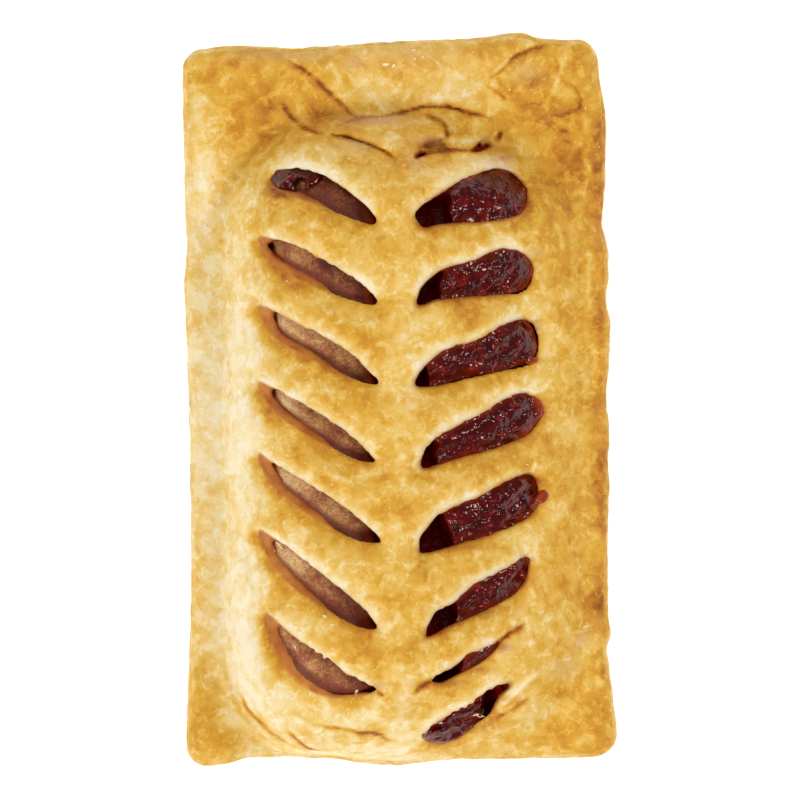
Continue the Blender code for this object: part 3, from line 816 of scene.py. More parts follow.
def blisters(x, y, cell, least, most, seed):
    """Round bumps, one at a random place in about half of all square cells, from 0 to 1 high."""
    rng = np.random.default_rng(seed)
    place_x, place_y, radius = rng.random((3, LATTICE, LATTICE))
    keep = rng.random((LATTICE, LATTICE)) < 0.55
    highest = np.zeros(np.shape(x))
    u, v = np.floor(x / cell).astype(int), np.floor(y / cell).astype(int)
    for du in (-1, 0, 1):
        for dv in (-1, 0, 1):
            i, j = (u + du) % LATTICE, (v + dv) % LATTICE
            centre_x, centre_y = (u + du + place_x[i, j]) * cell, (v + dv + place_y[i, j]) * cell
            size = least + (most - least) * radius[i, j] ** 2
            away = np.hypot(x - centre_x, y - centre_y) / size
            bump = np.where(keep[i, j], np.maximum(1.0 - away**2, 0.0) ** 1.5 * (size / most), 0.0)
            highest = np.maximum(highest, bump)
    return highest


def leaf_edges(x, y):
    """The top leaf lies over part of the crust: 1 where it does, 0 where it has flaked away."""
    return ease((cloudy(x, y, 9.0, 51, 4) - 0.12) / 0.05)


def small_leaves(x, y):
    return ease((cloudy(x, y, 4.2, 55, 3) - 0.08) / 0.06)


def layers(along, z):
    """Ridges of the parted layers along a side, from -1 to 1."""
    wobble = 0.8 * uneven(along, 0 * z, 11.0, 61) + 0.4 * uneven(along, 1.6 * z, 3.6, 62)
    thick = np.sin(2 * math.pi * (z + wobble) / LAYER_PITCH)
    thin = np.sin(2 * math.pi * (z + 0.6 * wobble) / (0.57 * LAYER_PITCH))
    share = ease(0.5 + uneven(along, z, 5.0, 64))
    return (thick * share + 0.7 * thin * (1.0 - share)) * (0.65 + 0.35 * uneven(along, z, 4.0, 63))


LEAF = 0.13
SMALL_LEAF = 0.09
BLISTER = 0.3
PEEL = 0.05
LAYER_PITCH = 1.35
LAYER_RIDGE = 0.34

crust_mesh = mesh_from_field("pastry_crust", dough, LOW_CORNER, VOXEL)
places, normals = read_mesh(crust_mesh)
x, y, z = places.T
below = at(crust, x, y) - z
edge = beyond_sides(x, y)
on_top = ease(1.6 - below) * ease((normals[:, 2] + 0.15) / 0.4)
on_side = ease((edge + 1.5) / 1.2) * ease((0.8 - np.abs(normals[:, 2])) / 0.4)
along = np.where(np.abs(normals[:, 0]) > np.abs(normals[:, 1]), y, x)
right_and_back = 0.3 + 0.7 * np.maximum(ease((x - 12.0) / 22.0), ease((y - 40.0) / 16.0))
relief = LEAF * leaf_edges(x, y) + SMALL_LEAF * small_leaves(x, y)
relief += PEEL * cloudy(x, y, 1.4, 33, 2) + 0.09 * uneven(x, y, 2.9, 34)
broad, small = blisters(x, y, 6.5, 0.9, 3.0, 31), blisters(x, y, 2.6, 0.4, 1.0, 32)
relief += BLISTER * (broad + 0.45 * small) * right_and_back
push = relief * on_top + LAYER_RIDGE * layers(along, z) * on_side
move_points(crust_mesh, places + normals * push[:, None])
print("relief from", round(float(push.min()), 2), "to", round(float(push.max()), 2), "mm")

# %% Thin the dough where nobody looks
MOST_TRIANGLES = 192000

hidden = (below > 2.4) & (at(foot, x, y) > 0.9) & (edge < -2.5)
hidden |= z < 0.35
hidden |= (below > 6.5) & (edge < -2.5)
crust_mesh = thin_out(crust_mesh, hidden, 0.03)
if count_triangles(crust_mesh) > MOST_TRIANGLES:
    crust_mesh = thin_out(crust_mesh, None, MOST_TRIANGLES / count_triangles(crust_mesh))
print("crust:", count_triangles(crust_mesh), "triangles")
print("thinned hard:", round(100 * hidden.mean()), "% of its points")

# %% [markdown]
# ## Colours
#
# Every colour is written as the sRGB hex value that a colour picker would show, and one function turns
# it into the linear numbers that the shader wants.

# %% Colour and node helpers


def linear(hex_colour):
    """An sRGB hex value as linear red, green, blue and 1."""
    parts = [int(hex_colour[k : k + 2], 16) / 255.0 for k in (1, 3, 5)]
    return (*[c / 12.92 if c <= 0.04045 else ((c + 0.055) / 1.055) ** 2.4 for c in parts], 1.0)


def add(tree, kind, settings=(), links=()):
    """Adds a shader node, sets its inputs or properties by name, and links its inputs."""
    node = tree.nodes.new("ShaderNode" + kind)
    for name, value in dict(settings).items():
        if isinstance(name, int) or name in node.inputs:
            node.inputs[name].default_value = value
        else:
            setattr(node, name, value)
    for name, source in dict(links).items():
        tree.links.new(source, node.inputs[name])
    return node


def ramp(tree, factor, *stops):
    """A colour ramp with stops of (position, hex colour)."""
    node = add(tree, "ValToRGB", (), {"Fac": factor})
    while len(node.color_ramp.elements) < len(stops):
        node.color_ramp.elements.new(0.5)
    for element, (position, colour) in zip(node.color_ramp.elements, stops):
        element.position = position
        element.color = linear(colour)
    return node.outputs["Color"]


def new_material(name):
    material = bpy.data.materials.new(name)
    material.use_nodes = True
    tree = material.node_tree
    tree.nodes.clear()
    output = add(tree, "OutputMaterial")
    shader = add(tree, "BsdfPrincipled")
    tree.links.new(shader.outputs["BSDF"], output.inputs["Surface"])
    return material, tree, shader


def noise(tree, place, size, **settings):
    """Smooth noise from 0 to 1, in patches about `size` mm wide."""
    settings = {"Scale": PER_METRE / size, **settings}
    return add(tree, "TexNoise", settings, {"Vector": place}).outputs["Fac"]


def spread(tree, factor, low, high, at_low, at_high):
    """Turns the part of a number from low to high into numbers from at_low to at_high."""
    return add(tree, "MapRange", {1: low, 2: high, 3: at_low, 4: at_high}, {0: factor}).outputs[0]


def plus(tree, a, b, **settings):
    return add(tree, "Math", {"operation": "ADD", **settings}, {0: a, 1: b}).outputs[0]


def painted(tree, name):
    """A number that was painted on the mesh, point by point."""
    return add(tree, "Attribute", {"attribute_name": name}).outputs["Fac"]


def blend(tree, factor, a, b):
    """Mixes two colours, or a colour and a plain hex colour."""
    settings, links = {"data_type": "RGBA"}, {0: factor, 6: a}
    if isinstance(b, str):
        settings[7] = linear(b)
    else:
        links[7] = b
    return add(tree, "Mix", settings, links).outputs[2]


def bumpy(tree, shader, height, strength, distance):
    """Lets a noise tilt the light on a surface, as relief up to `distance` metres deep would."""
    bump = add(tree, "Bump", {"Strength": strength, "Distance": distance}, {"Height": height})
    tree.links.new(bump.outputs["Normal"], shader.inputs["Normal"])


PER_METRE = 1000.0
print("cream crust in linear light:", [round(c, 3) for c in linear("#f2deb4")])

# %% [markdown]
# ### How brown the crust is at each place
#
# Pastry browns where it stands high, thin or near the oven wall, and stays cream in the folds and on
# the steep sides that the egg wash ran off. Some of the paint here is light and shade as well: painted
# highlights where the crust faces the lamps, and painted shade in hollows, creases and pits and on slopes
# that face away from the lamps. That is decided here, per point, with the same functions that made the
# shape. The material then only adds the fine mottling.

# %% Paint the browning
# Browner or paler places: centre x, centre y, half width, half length, how much browner. Some are real
# browning, and some are painted light and shade: paler where the crust faces the lamps, and browner in
# hollows and on slopes that face away from them
BROWNING_AND_PAINTED_LIGHT = (
    (-29.0, 52.0, 8.0, 12.0, 0.26), (-15.5, 55.0, 5.0, 4.0, 0.14), (-36.0, -60.0, 6.5, 8.0, 0.2),
    (-37.0, 5.0, 5.0, 52.0, -0.26), (-29.5, -5.0, 4.5, 40.0, -0.34), (-29.0, -45.0, 7.0, 14.0, -0.3),
    (-16.0, -60.0, 12.0, 5.0, -0.24), (-7.0, -66.0, 10.0, 3.0, -0.14), (0.0, 5.0, 3.5, 40.0, -0.06),
    (0.0, -62.0, 6.0, 10.0, -0.16), (31.0, 47.0, 9.0, 14.0, 0.2), (22.0, 60.0, 9.0, 8.0, 0.1),
    (37.8, -5.0, 2.4, 75.0, 0.14), (34.0, -40.0, 5.0, 12.0, 0.06), (31.0, -55.0, 5.0, 8.0, 0.08),
    (28.0, 2.0, 4.5, 14.0, -0.1), (8.0, 57.0, 10.0, 2.5, -0.1), (0.0, 63.0, 16.0, 4.0, 0.08),
    (33.5, 20.0, 4.0, 16.0, 0.15), (28.5, 29.5, 4.0, 5.0, 0.16), (31.5, 59.5, 2.6, 2.6, -0.26),
    (-38.5, 45.0, 3.5, 7.0, -0.24), (-17.0, -42.5, 4.0, 3.0, -0.22), (-35.0, -39.0, 3.5, 6.0, -0.16),
    (-25.8, -16.5, 1.6, 3.0, -0.2), (-29.0, 41.0, 2.5, 4.0, -0.22), (29.0, 43.0, 4.0, 5.0, 0.12),
    (38.4, 10.0, 1.6, 55.0, 0.16), (-15.0, 55.0, 4.5, 1.6, 0.22), (-18.5, 54.6, 1.6, 2.2, -0.26),
    (-1.2, 48.4, 2.4, 1.6, -0.16), (6.2, 48.4, 2.4, 1.0, 0.6), (-24.5, -45.0, 2.0, 5.0, 0.3),
    (-10.0, -58.0, 6.0, 1.6, 0.08), (-34.5, -66.5, 4.0, 2.5, 0.14), (22.0, -57.6, 2.6, 1.2, 0.2),
    (12.4, 49.5, 4.0, 0.6, -0.3), (-18.0, 45.6, 6.0, 1.6, -0.12), (-8.0, 42.0, 4.0, 2.0, -0.12),
    (12.0, 44.4, 5.0, 1.6, -0.14),
)
# Sauce that soaked into the crust or smeared over it: the same five numbers
STAINS = (
    (19.6, 46.2, 3.2, 2.2, 0.55), (16.5, 48.6, 1.6, 1.0, 0.9), (4.2, 46.6, 1.4, 0.6, 0.7),
    (25.7, 27.0, 1.5, 2.2, 0.35), (25.8, 13.3, 1.2, 1.8, 0.75), (25.6, 7.5, 1.8, 0.5, 0.9),
    (26.9, -1.7, 1.2, 1.9, 0.85), (26.0, -15.4, 1.2, 1.0, 0.6), (24.6, -30.2, 0.9, 0.7, 0.5),
    (22.0, -43.4, 1.6, 0.8, 0.3), (4.4, -54.0, 1.6, 0.7, 0.6), (9.6, -53.3, 3.0, 0.8, 0.7),
    (14.0, -51.0, 2.4, 0.9, 0.7), (19.2, -46.6, 1.8, 1.1, 0.7), (16.4, -39.8, 3.0, 0.8, 0.5),
    (13.0, -11.2, 5.0, 0.7, 0.35), (10.5, -27.8, 5.0, 0.7, 0.35), (13.6, -62.4, 3.4, 0.8, 0.6),
    (19.4, -56.6, 1.4, 1.2, 0.5),
)
# Places painted a dusty pinkish tan: partly dry places where the egg wash missed and the bare crumb shows,
# and partly painted shade on tops and back edges that face away from the lamps
DULL_AND_SHADED = (
    (-4.0, 53.2, 6.5, 1.2, 0.8), (-8.5, 48.4, 4.0, 1.4, 0.45), (2.6, 44.6, 1.6, 2.2, 0.5),
    (4.6, 49.4, 3.4, 1.0, 0.45), (-22.0, 66.2, 10.0, 1.4, 0.5), (-8.5, 64.6, 2.6, 1.6, 0.5),
    (24.0, 62.6, 2.6, 2.0, 0.4), (2.0, 66.0, 13.0, 2.6, 0.3), (35.0, -45.6, 2.2, 1.4, 0.5),
    (31.0, -51.0, 2.6, 1.6, 0.45), (-4.0, -53.8, 2.0, 0.8, 0.5), (1.4, -58.0, 2.4, 2.4, 0.2),
)
BASE_BROWN = 0.415

places, normals = read_mesh(crust_mesh)
x, y, z = places.T
below = at(crust, x, y) - z
away, behind = np.maximum(at(opening, x, y), 0.0), at(behind_cut, x, y)
on_top = ease(1.6 - below)
brown = BASE_BROWN + 0.13 * cloudy(x, y, 12.0, 81, 3) + 0.09 * cloudy(x, y, 4.2, 85, 3)
# Browning patches, some of them painted highlights and painted shade
for centre_x, centre_y, wide, long, amount in BROWNING_AND_PAINTED_LIGHT:
    brown += amount * patch(x, y, centre_x, centre_y, wide, long)
# The rolled front lip of a cut is painted browner, partly browning and partly painted shade, and its crisp
# back lip is painted paler, partly where leaves flaked off and partly a painted highlight facing the lamps
brown += (0.17 + 0.22 * ease((-20.0 - x) / 3.0)) * (1.0 - behind) * bell(away, 1.9) * on_top
first_pair = y > 40.0
brown -= (0.34 + 0.04 * first_pair) * behind * bell(away, 1.5 + 1.0 * first_pair) * on_top
brown -= (0.14 * at(bare, x, y) + 0.3 * at(scratch, x, y)) * on_top
brown += (0.08 * leaf_edges(x, y) + 0.06 * small_leaves(x, y)) * on_top
# Dark lines at the feet of laps and in creases, partly browning and partly painted shade, painted shade on
# the low side of each lap, and paler cracks
brown += (0.62 * np.clip(at(line, x, y), 0.0, 1.2) + 0.32 * at(low_side_shade, x, y)) * on_top - 0.22 * at(crack, x, y)
brown += 0.1 * blisters(x, y, 6.5, 0.9, 3.0, 31)
edge = beyond_sides(x, y)
along = np.where(np.abs(normals[:, 0]) > np.abs(normals[:, 1]), y, x)
# The glaze ran down over the cut sides in places
run_down = 0.3 * uneven(along, z, 7.0, 65) + 0.2 * uneven(along, z, 1.8, 66)
on_side = ease((edge + 1.2) / 1.0) * ease((0.62 + run_down - normals[:, 2]) / 0.6)
near_opening = (at(opening, x, y) < 6.0) * (edge < -2.5)
in_wall = np.maximum(ease(0.1 - at(opening, x, y) / 0.5), ease((below - 1.3) / 0.9))
stain = bell(np.maximum(at(right_opening, x, y), 0.0), 0.45) * (0.75 - 0.5 * behind)
for centre_x, centre_y, wide, long, amount in STAINS:
    soft = patch(x, y, centre_x, centre_y, wide, long)
    stain = np.maximum(stain, amount * soft * (0.8 + 0.4 * uneven(x, y, 1.2, 87)))
dull = 0.0 * x
for centre_x, centre_y, wide, long, amount in DULL_AND_SHADED:
    dull = np.maximum(dull, amount * patch(x, y, centre_x, centre_y, wide, long))
paint(crust_mesh, "brown", np.clip(brown, 0.0, 1.0))
# The dusty tan: partly bare crumb and partly painted shade
paint(crust_mesh, "dull", dull * on_top)
# The cut walls, which the material paints orange-brown: partly fat soaked in and partly painted shade under
# the strips
paint(crust_mesh, "wall", in_wall * near_opening)
# Deeper down the walls the dough is painted dark red: sauce soaked in on the sauce side, and on the sausage
# side partly fat soaked in and partly painted shade. The deep pits in the creases get the same dark red as
# painted shade.
sauce_soak, meat_side_soak_and_shade = ease((below - 1.0) / 1.2), 0.6 * ease((below - 1.0) / 1.1)
soak_and_shade = np.where(at(right_opening, x, y) < 6.0, sauce_soak, meat_side_soak_and_shade) * near_opening
paint(crust_mesh, "soak_and_shade", np.maximum(soak_and_shade, at(pit_shade, x, y)))
# Painted shade in the gaps between the layers on the cut sides
upright = ease((0.75 - np.abs(normals[:, 2])) / 0.3)
paint(crust_mesh, "layer_gap_shade", ease(-layers(along, z)) * on_side * upright)
paint(crust_mesh, "side", on_side)
paint(crust_mesh, "stain", np.clip(stain, 0.0, 1.0))
print("browning from", round(float(brown.min()), 2), "to", round(float(brown.max()), 2))

# %% [markdown]
# ### Baked puff pastry
#
# Flour, butter and an egg wash: a dull, slightly translucent crumb under a thin satin glaze. The glaze
# gives the golden colour and a soft sheen, and the bare crumb under it is cream and quite matt. IOR is
# that of starch and fat, about 1.45.

# %% Material: baked_puff_pastry_egg_washed
pastry_material, tree, shader = new_material("baked_puff_pastry_egg_washed")
place = add(tree, "TexCoord").outputs["Object"]
# Browned patches 2.6 mm wide, parted leaves 4.4 mm wide, chips of 1.9 mm where a leaf broke off, and a
# crumb of 0.55 mm, which is coarser than real crumb, so that it still shows at arm's length
mottle = noise(tree, place, 2.6, Detail=4.0, Roughness=0.5)
grain = noise(tree, place, 0.55, Detail=3.0, Roughness=0.7)
leaves = noise(tree, place, 4.4, Detail=6.0, Roughness=0.55, Distortion=0.6)
chips = noise(tree, place, 1.9, Detail=4.0, Roughness=0.6, Distortion=0.4)
tone = painted(tree, "brown")
tone = plus(tree, tone, spread(tree, mottle, 0.3, 0.7, -0.1, 0.1))
tone = plus(tree, tone, spread(tree, grain, 0.3, 0.7, -0.045, 0.045))
tone = plus(tree, tone, spread(tree, leaves, 0.48, 0.53, -0.05, 0.05))
tone = plus(tree, tone, spread(tree, chips, 0.56, 0.59, 0.02, -0.11))
crust_colour = ramp(
    tree, tone,
    (0.0, "#f4e6c6"), (0.2, "#efd598"), (0.4, "#e6bc5e"),
    (0.58, "#d9a336"), (0.78, "#c4822a"), (1.0, "#8c4c10"),
)
side_colour = ramp(tree, tone, (0.0, "#f2dfb2"), (0.5, "#e6bf78"), (1.0, "#c68a44"))
# The cut walls are orange-brown, partly fat soaked in and partly painted shade under the strips
wall_colour = ramp(tree, mottle, (0.3, "#a85c28"), (0.7, "#c8823a"))

# A dusty pinkish tan, partly bare crumb and partly painted shade where the crust faces away from the lamps
colour = blend(tree, painted(tree, "dull"), crust_colour, "#d2a878")
colour = blend(tree, painted(tree, "side"), colour, side_colour)
colour = blend(tree, painted(tree, "wall"), colour, wall_colour)
# Dark red deep in the walls, from soaked sauce and painted shade, and in the deep pits as painted shade
colour = blend(tree, painted(tree, "soak_and_shade"), colour, "#7a1c0c")
# Painted shade: darker brown in the gaps between the layers on the cut sides
gap_share = add(tree, "Math", {"operation": "MULTIPLY", 1: 0.45}, {0: painted(tree, "layer_gap_shade")})
colour = blend(tree, gap_share.outputs[0], colour, "#9c5a26")
colour = blend(tree, painted(tree, "stain"), colour, "#9a3c1a")
specks = add(tree, "TexVoronoi", {"Scale": PER_METRE / 2.4}, {"Vector": place})
colour = blend(tree, spread(tree, specks.outputs["Distance"], 0.03, 0.06, 0.6, 0.0), colour, "#8e5222")
flecks = noise(tree, place, 0.9, Detail=1.0, Distortion=0.6)
colour = blend(tree, spread(tree, flecks, 0.75, 0.83, 0.0, 0.6), colour, "#f8ecd2")
tree.links.new(colour, shader.inputs["Base Color"])
tree.links.new(spread(tree, mottle, 0.3, 0.7, 0.4, 0.6), shader.inputs["Roughness"])
shader.inputs["IOR"].default_value = 1.45
shader.inputs["Specular IOR Level"].default_value = 0.2
shader.inputs["Subsurface Weight"].default_value = 0.15
shader.inputs["Subsurface Radius"].default_value = (0.0014, 0.0008, 0.0003)
shader.inputs["Subsurface Scale"].default_value = 1.0
bumpy(tree, shader, grain, 0.4, 0.0001)
move_points(crust_mesh, read_mesh(crust_mesh)[0] * MM)
pastry = new_piece("pastry_crust", crust_mesh, "pastry", pastry_material, "pastry")
print("pastry in", len(crust_mesh.vertices), "points")

# %% [markdown]
# ## The sausage
#
# A skinless sausage is minced meat and rusk that set in its own shape. What the cuts show of it is a
# dull, finely grained surface, tan where fat lies near it and pinkish brown elsewhere. It is also painted
# paler towards its left side, as painted light from the lamps, and darker along the walls and at the inner
# ends of the cuts, partly juice and partly painted shade. The same field method makes it, with a fine
# lumpiness pushed out of it.

# %% Shape the sausage
SAUSAGE_VOXEL = 0.36
MINCE = 0.17

sausage_corner = np.array([SAUSAGE_X - 13.5, SAUSAGE_FRONT - 2.0, 1.5])
sausage_end = (SAUSAGE_X + 13.5, SAUSAGE_BACK + 2.0, 25.5)
sx, sy, sz, plan_sx, plan_sy = lattice(sausage_corner, sausage_end, SAUSAGE_VOXEL)
meat = beyond_sausage(plan_sx[:, :, None], plan_sy[:, :, None], sz)
sausage_mesh = mesh_from_field("sausage_meat", meat, sausage_corner, SAUSAGE_VOXEL)
places, normals = read_mesh(sausage_mesh)
x, y, z = places.T
skin_x = x + 0.8 * z * np.sign(x - SAUSAGE_X)
mince = 0.55 * uneven(skin_x, y, 1.7, 91) + 0.45 * uneven(skin_x, y, 0.9, 92)
mince -= 1.3 * blisters(skin_x, y, 3.0, 0.3, 0.8, 93)
move_points(sausage_mesh, places + normals * (MINCE * mince)[:, None])
seen = (at(left_opening, x, y) < 1.5) & (normals[:, 2] > -0.1)
sausage_mesh = thin_out(sausage_mesh, ~seen, 0.08)
print("sausage:", count_triangles(sausage_mesh), "triangles")

# %% [markdown]
# ### Cooked sausage meat
#
# Minced pork, fat and rusk, baked until its own juices ran. Protein and fat give it an IOR near 1.42 and
# let light in a little way, which softens it, and the drying in the oven leaves it half matt. Beside the
# walls of a cut and at its inner end the meat is painted darker, partly juice and partly painted shade,
# and where the light hardly reaches it is painted a bright orange-red, as painted light.

# %% Material: cooked_sausage_meat
sausage_material, tree, shader = new_material("cooked_sausage_meat")
place = add(tree, "TexCoord").outputs["Object"]
# Share of fat, with painted light: paler towards the sausage's left side, which faces the lamps
fat_and_light_at = painted(tree, "fat_and_light")
# Grains of mince 0.6 mm wide and of rusk 0.4 mm wide, over patches of fat about 3.6 mm wide
flecks = noise(tree, place, 0.6, Detail=5.0, Roughness=0.85)
patches = noise(tree, place, 3.6, Detail=4.0, Distortion=0.5)
meat_tone = plus(tree, fat_and_light_at, spread(tree, flecks, 0.3, 0.7, -0.5, 0.5))
tan_share = plus(tree, fat_and_light_at, spread(tree, patches, 0.4, 0.6, -0.45, 0.25), use_clamp=True)
lean = ramp(tree, meat_tone, (0.0, "#6a2810"), (0.35, "#9a5230"), (0.65, "#bc7a4c"), (1.0, "#d8a878"))
fatty = ramp(tree, meat_tone, (0.0, "#8a5026"), (0.35, "#bf8648"), (0.65, "#d8a76a"), (1.0, "#eecd94"))
meat_colour = blend(tree, tan_share, lean, fatty)
rusk = noise(tree, place, 0.4, Detail=2.0)
meat_colour = blend(tree, spread(tree, rusk, 0.32, 0.4, 0.6, 0.0), meat_colour, "#55200f")
# Darker red-brown along the foot of each wall and at the inner ends: partly juice, partly painted shade
meat_colour = blend(tree, painted(tree, "juice_and_shade"), meat_colour, "#6c220a")
# Painted light: a bright orange-red where the meat lies in deep shade
meat_colour = blend(tree, painted(tree, "painted_light_in_shade"), meat_colour, "#d8541c")
tree.links.new(meat_colour, shader.inputs["Base Color"])
shader.inputs["Roughness"].default_value = 0.5
shader.inputs["IOR"].default_value = 1.42
shader.inputs["Subsurface Weight"].default_value = 0.3
shader.inputs["Subsurface Radius"].default_value = (0.0025, 0.0008, 0.0004)
shader.inputs["Subsurface Scale"].default_value = 1.0
bumpy(tree, shader, flecks, 0.8, 0.0002)

# %% Paint the fat and the juice, with painted light and shade
places, normals = read_mesh(sausage_mesh)
x, y, z = places.T
# Real patches of fat, plus painted light: paler towards the left side, which faces the lamps, and darker
# towards the right
fat_and_light = 0.56 + 0.3 * cloudy(x, y, 4.5, 95, 3) - 0.036 * (x - SAUSAGE_X) - 0.42 * ease((y - 16.0) / 7.0)
fat_and_light -= 0.26 * ease((-38.0 - y) / 8.0) + 0.3 * patch(x, y, -11.0, -36.0, 6.0, 5.0)
paint(sausage_mesh, "fat_and_light", np.clip(fat_and_light, 0.0, 1.0))
from_wall = np.maximum(-at(foot, x, y), 0.0)
in_front = 1.0 - at(behind_cut, x, y)
# Darker along the foot of each wall and towards the inner end of each cut: partly juice, partly painted shade
juice_and_shade = 0.9 * in_front * bell(from_wall, 1.45) + 0.85 * ease((x + 9.0) / 4.5)
paint(sausage_mesh, "juice_and_shade", np.clip(juice_and_shade, 0.0, 0.9))
# Where the light hardly reaches, the meat is painted a bright orange-red as painted light, so that it shows
# dark red there and not black
light_in_shade = 0.5 * ease((-22.2 - x) / 1.2) * bell(from_wall, 0.6) * (y > -40.0)
light_in_shade = np.maximum(light_in_shade, 0.8 * ease((x + 7.4) / 2.2))
paint(sausage_mesh, "painted_light_in_shade", light_in_shade)
move_points(sausage_mesh, places * MM)
sausage = new_piece("sausage_meat", sausage_mesh, "sausage", sausage_material, "sausage")
print("fat from", round(float(fat_and_light.min()), 2), "to", round(float(fat_and_light.max()), 2))

# %% [markdown]
# ## The sauce
#
# The sauce has boiled up into the cuts and then set with a wrinkled skin, so every fold catches a small
# hard highlight. Its level follows the roof, wells up in each cut, and drops into the hollow beside the
# sausage. In the first cut on the left a lobe of it lies over the sausage's end, with a burst bubble.

# %% Shape the sauce
SAUCE_VOXEL = 0.28
UNDER_ROOF = 3.7
SWELL = 0.9
HOLLOW_FLOOR = 11.0
# The hollow beside the sausage reaches this far to the right, at places along the roll
HOLLOW_EDGE = (
    (-70, 3), (-60, 3), (-51, 11.4), (-42, 11), (-27, 9.6), (-12, 7.6), (3, 5.8), (18, 7.0), (33, 10),
    (47, 9),
)
# Sauce that crept out over the lip of a cut: its outline and how thick it lies
SMEARS = (
    (
        (
            (24.4, -20.4), (25.6, -18.4), (26.4, -17.4), (27.4, -16.8), (28.3, -17.4), (28.4, -18.6),
            (27.6, -19.7), (26.2, -19.8), (25.4, -21.0),
        ),
        0.7,
    ),
    (
        ((25.0, 0.6), (26.4, 0.2), (27.2, -0.8), (27.4, -2.2), (26.8, -3.4), (25.6, -3.2), (24.8, -1.4)),
        0.25,
    ),
    (((24.0, 6.8), (25.6, 7.0), (26.4, 7.6), (25.8, 8.1), (24.2, 8.2)), 0.3),
)
# The lobe over the sausage's end: centre x, centre y, half width, half length. Its bubble: centre, radius
LOBE = (-20.0, 42.0, 6.5, 3.4)
BUBBLE = (-18.9, 40.7, 1.15)
# The back end of the last cut, and how far left the main bed of sauce reaches
LAST_CUT_BACK = -54.0
SAUCE_LEFT = SAUSAGE_X + 6.0


def sauce_lobe(x, y):
    """Height of the lobe in the first cut on the left, with its burst bubble."""
    centre_x, centre_y, wide, long = LOBE
    reach = np.hypot((x - centre_x) / wide, (y - centre_y) / long)
    bubble = np.hypot(x - BUBBLE[0], y - BUBBLE[1]) / BUBBLE[2]
    lobe = roof_height(x, y) - 1.7 - 4.0 * reach**4
    return lobe + 0.5 * bell(bubble - 1.25, 0.4) - 1.9 * ease(1.4 - bubble)


def wrinkles(x, y):
    """Folds of the sauce's skin: sharp valleys between rounded ridges, drawn out along the cuts."""
    run, across = x * 0.94 + y * 0.34, y * 0.94 - x * 0.34
    warp = 0.8 * uneven(x, y, 3.0, 111)
    folds = 1.0 - 2.0 * np.abs(uneven(run / 1.5 + warp, across + warp, 2.1, 113))
    finer = 1.0 - 2.0 * np.abs(uneven(run / 1.3 + warp, across, 1.15, 114))
    outer_end = np.maximum(x - 17.5, -52.0 - y) / 5.0
    drawn_up = 0.35 + 0.65 * ease(np.maximum(0.5 + uneven(x, y, 3.6, 116), outer_end))
    drawn_up *= 1.0 + 0.5 * ease((LAST_CUT_BACK - y) / 3.0)
    return (0.5 * folds + 0.22 * finer) * drawn_up + 0.5 * uneven(x, y, 3.4, 115) - 0.3


sauce_corner = np.array([-28.0, -66.5, 1.5])
cx, cy, cz, plan_cx, plan_cy = lattice(sauce_corner, (29.0, 49.0, 26.0), SAUCE_VOXEL)
inside = -at(right_opening, plan_cx, plan_cy)
crust_here = at(crust, plan_cx, plan_cy)
level = crust_here - UNDER_ROOF
# In the last cut the sauce set nearly level, although the roof slopes down to the front there
levelled = plan_cy + 0.6 * (-61.5 - plan_cy) * ease((LAST_CUT_BACK - plan_cy) / 2.0)
well = np.minimum(at(crust, plan_cx, levelled), crust_here + 1.2) - 0.7 + SWELL * ease(inside / 2.4)
gentle = at(crust, plan_cx, np.full(plan_cy.shape, -65.0)) + 0.6 + 0.66 * (plan_cy + 65.0)
well = np.where(plan_cy < LAST_CUT_BACK, np.minimum(well, gentle), well)
well -= 5.0 * ease((plan_cx - 15.4) / 1.2) * (plan_cy < -52.0)
level = level + (well - level) * ease((inside + 0.75 + 0.3 * (plan_cy < -57.0)) / 0.6)
hollow_edge = through(plan_cy, HOLLOW_EDGE) + 0.8 * uneven(plan_cx, plan_cy, 2.5, 102)
hollow = ease((hollow_edge - plan_cx) / 1.8)
level = level + (HOLLOW_FLOOR - level) * hollow * ease((40.0 - plan_cy) / 3.0)
level = np.where(plan_cx < SAUCE_LEFT, 0.0, level)
level = np.maximum(level, sauce_lobe(plan_cx, plan_cy)) + wrinkles(plan_cx, plan_cy)
left_limit = np.where(plan_cy > 37.0, POCKET_LEFT, SAUSAGE_X + 4.0)
pool = (cz - level[:, :, None]) * 0.8
plan_limit = np.maximum(beyond_pocket(plan_cx, plan_cy) + 0.4, left_limit - plan_cx)
plan_limit = np.minimum(plan_limit, -inside - 0.9)
pool = larger(pool, plan_limit[:, :, None], 0.6)
pool = larger(pool, FILLING_FLOOR - cz, 0.4)
pool = larger(pool, 0.3 - beyond_sausage(plan_cx[:, :, None], plan_cy[:, :, None], cz), 0.3)
for loop, thick in SMEARS:
    off = beyond(smooth_chain(loop, closed=True), plan_cx, plan_cy)
    over = crust_here + thick * ease(0.3 - off / 0.9)
    over = over + 0.2 * wrinkles(plan_cx, plan_cy) * thick
    smear = larger(cz - over[:, :, None], off[:, :, None], 0.3)
    smear = larger(smear, (over - 1.2)[:, :, None] - cz, 0.3)
    pool = smaller(pool, smear, 0.3)
sauce_mesh = mesh_from_field("tomato_sauce", pool, sauce_corner, SAUCE_VOXEL)
places, normals = read_mesh(sauce_mesh)
x, y, z = places.T
shut_in = (at(opening, x, y) > 0.6) | (normals[:, 2] < -0.1)
sauce_mesh = thin_out(sauce_mesh, shut_in, 0.04)
print("sauce:", count_triangles(sauce_mesh), "triangles")

# %% [markdown]
# ### Set tomato sauce
#
# Tomato, sugar and spice boiled down until a skin formed. Sugar brings its IOR up to about 1.46. The skin
# is wet and smooth, so the lamps show in it as small sharp lights, and it swallows nearly all the light
# that goes in, which is why it looks almost black where it lies deep and red where it is thin. Deep in the
# hollow it is painted a brighter red, as painted light, so that it shows dark red there and not black.

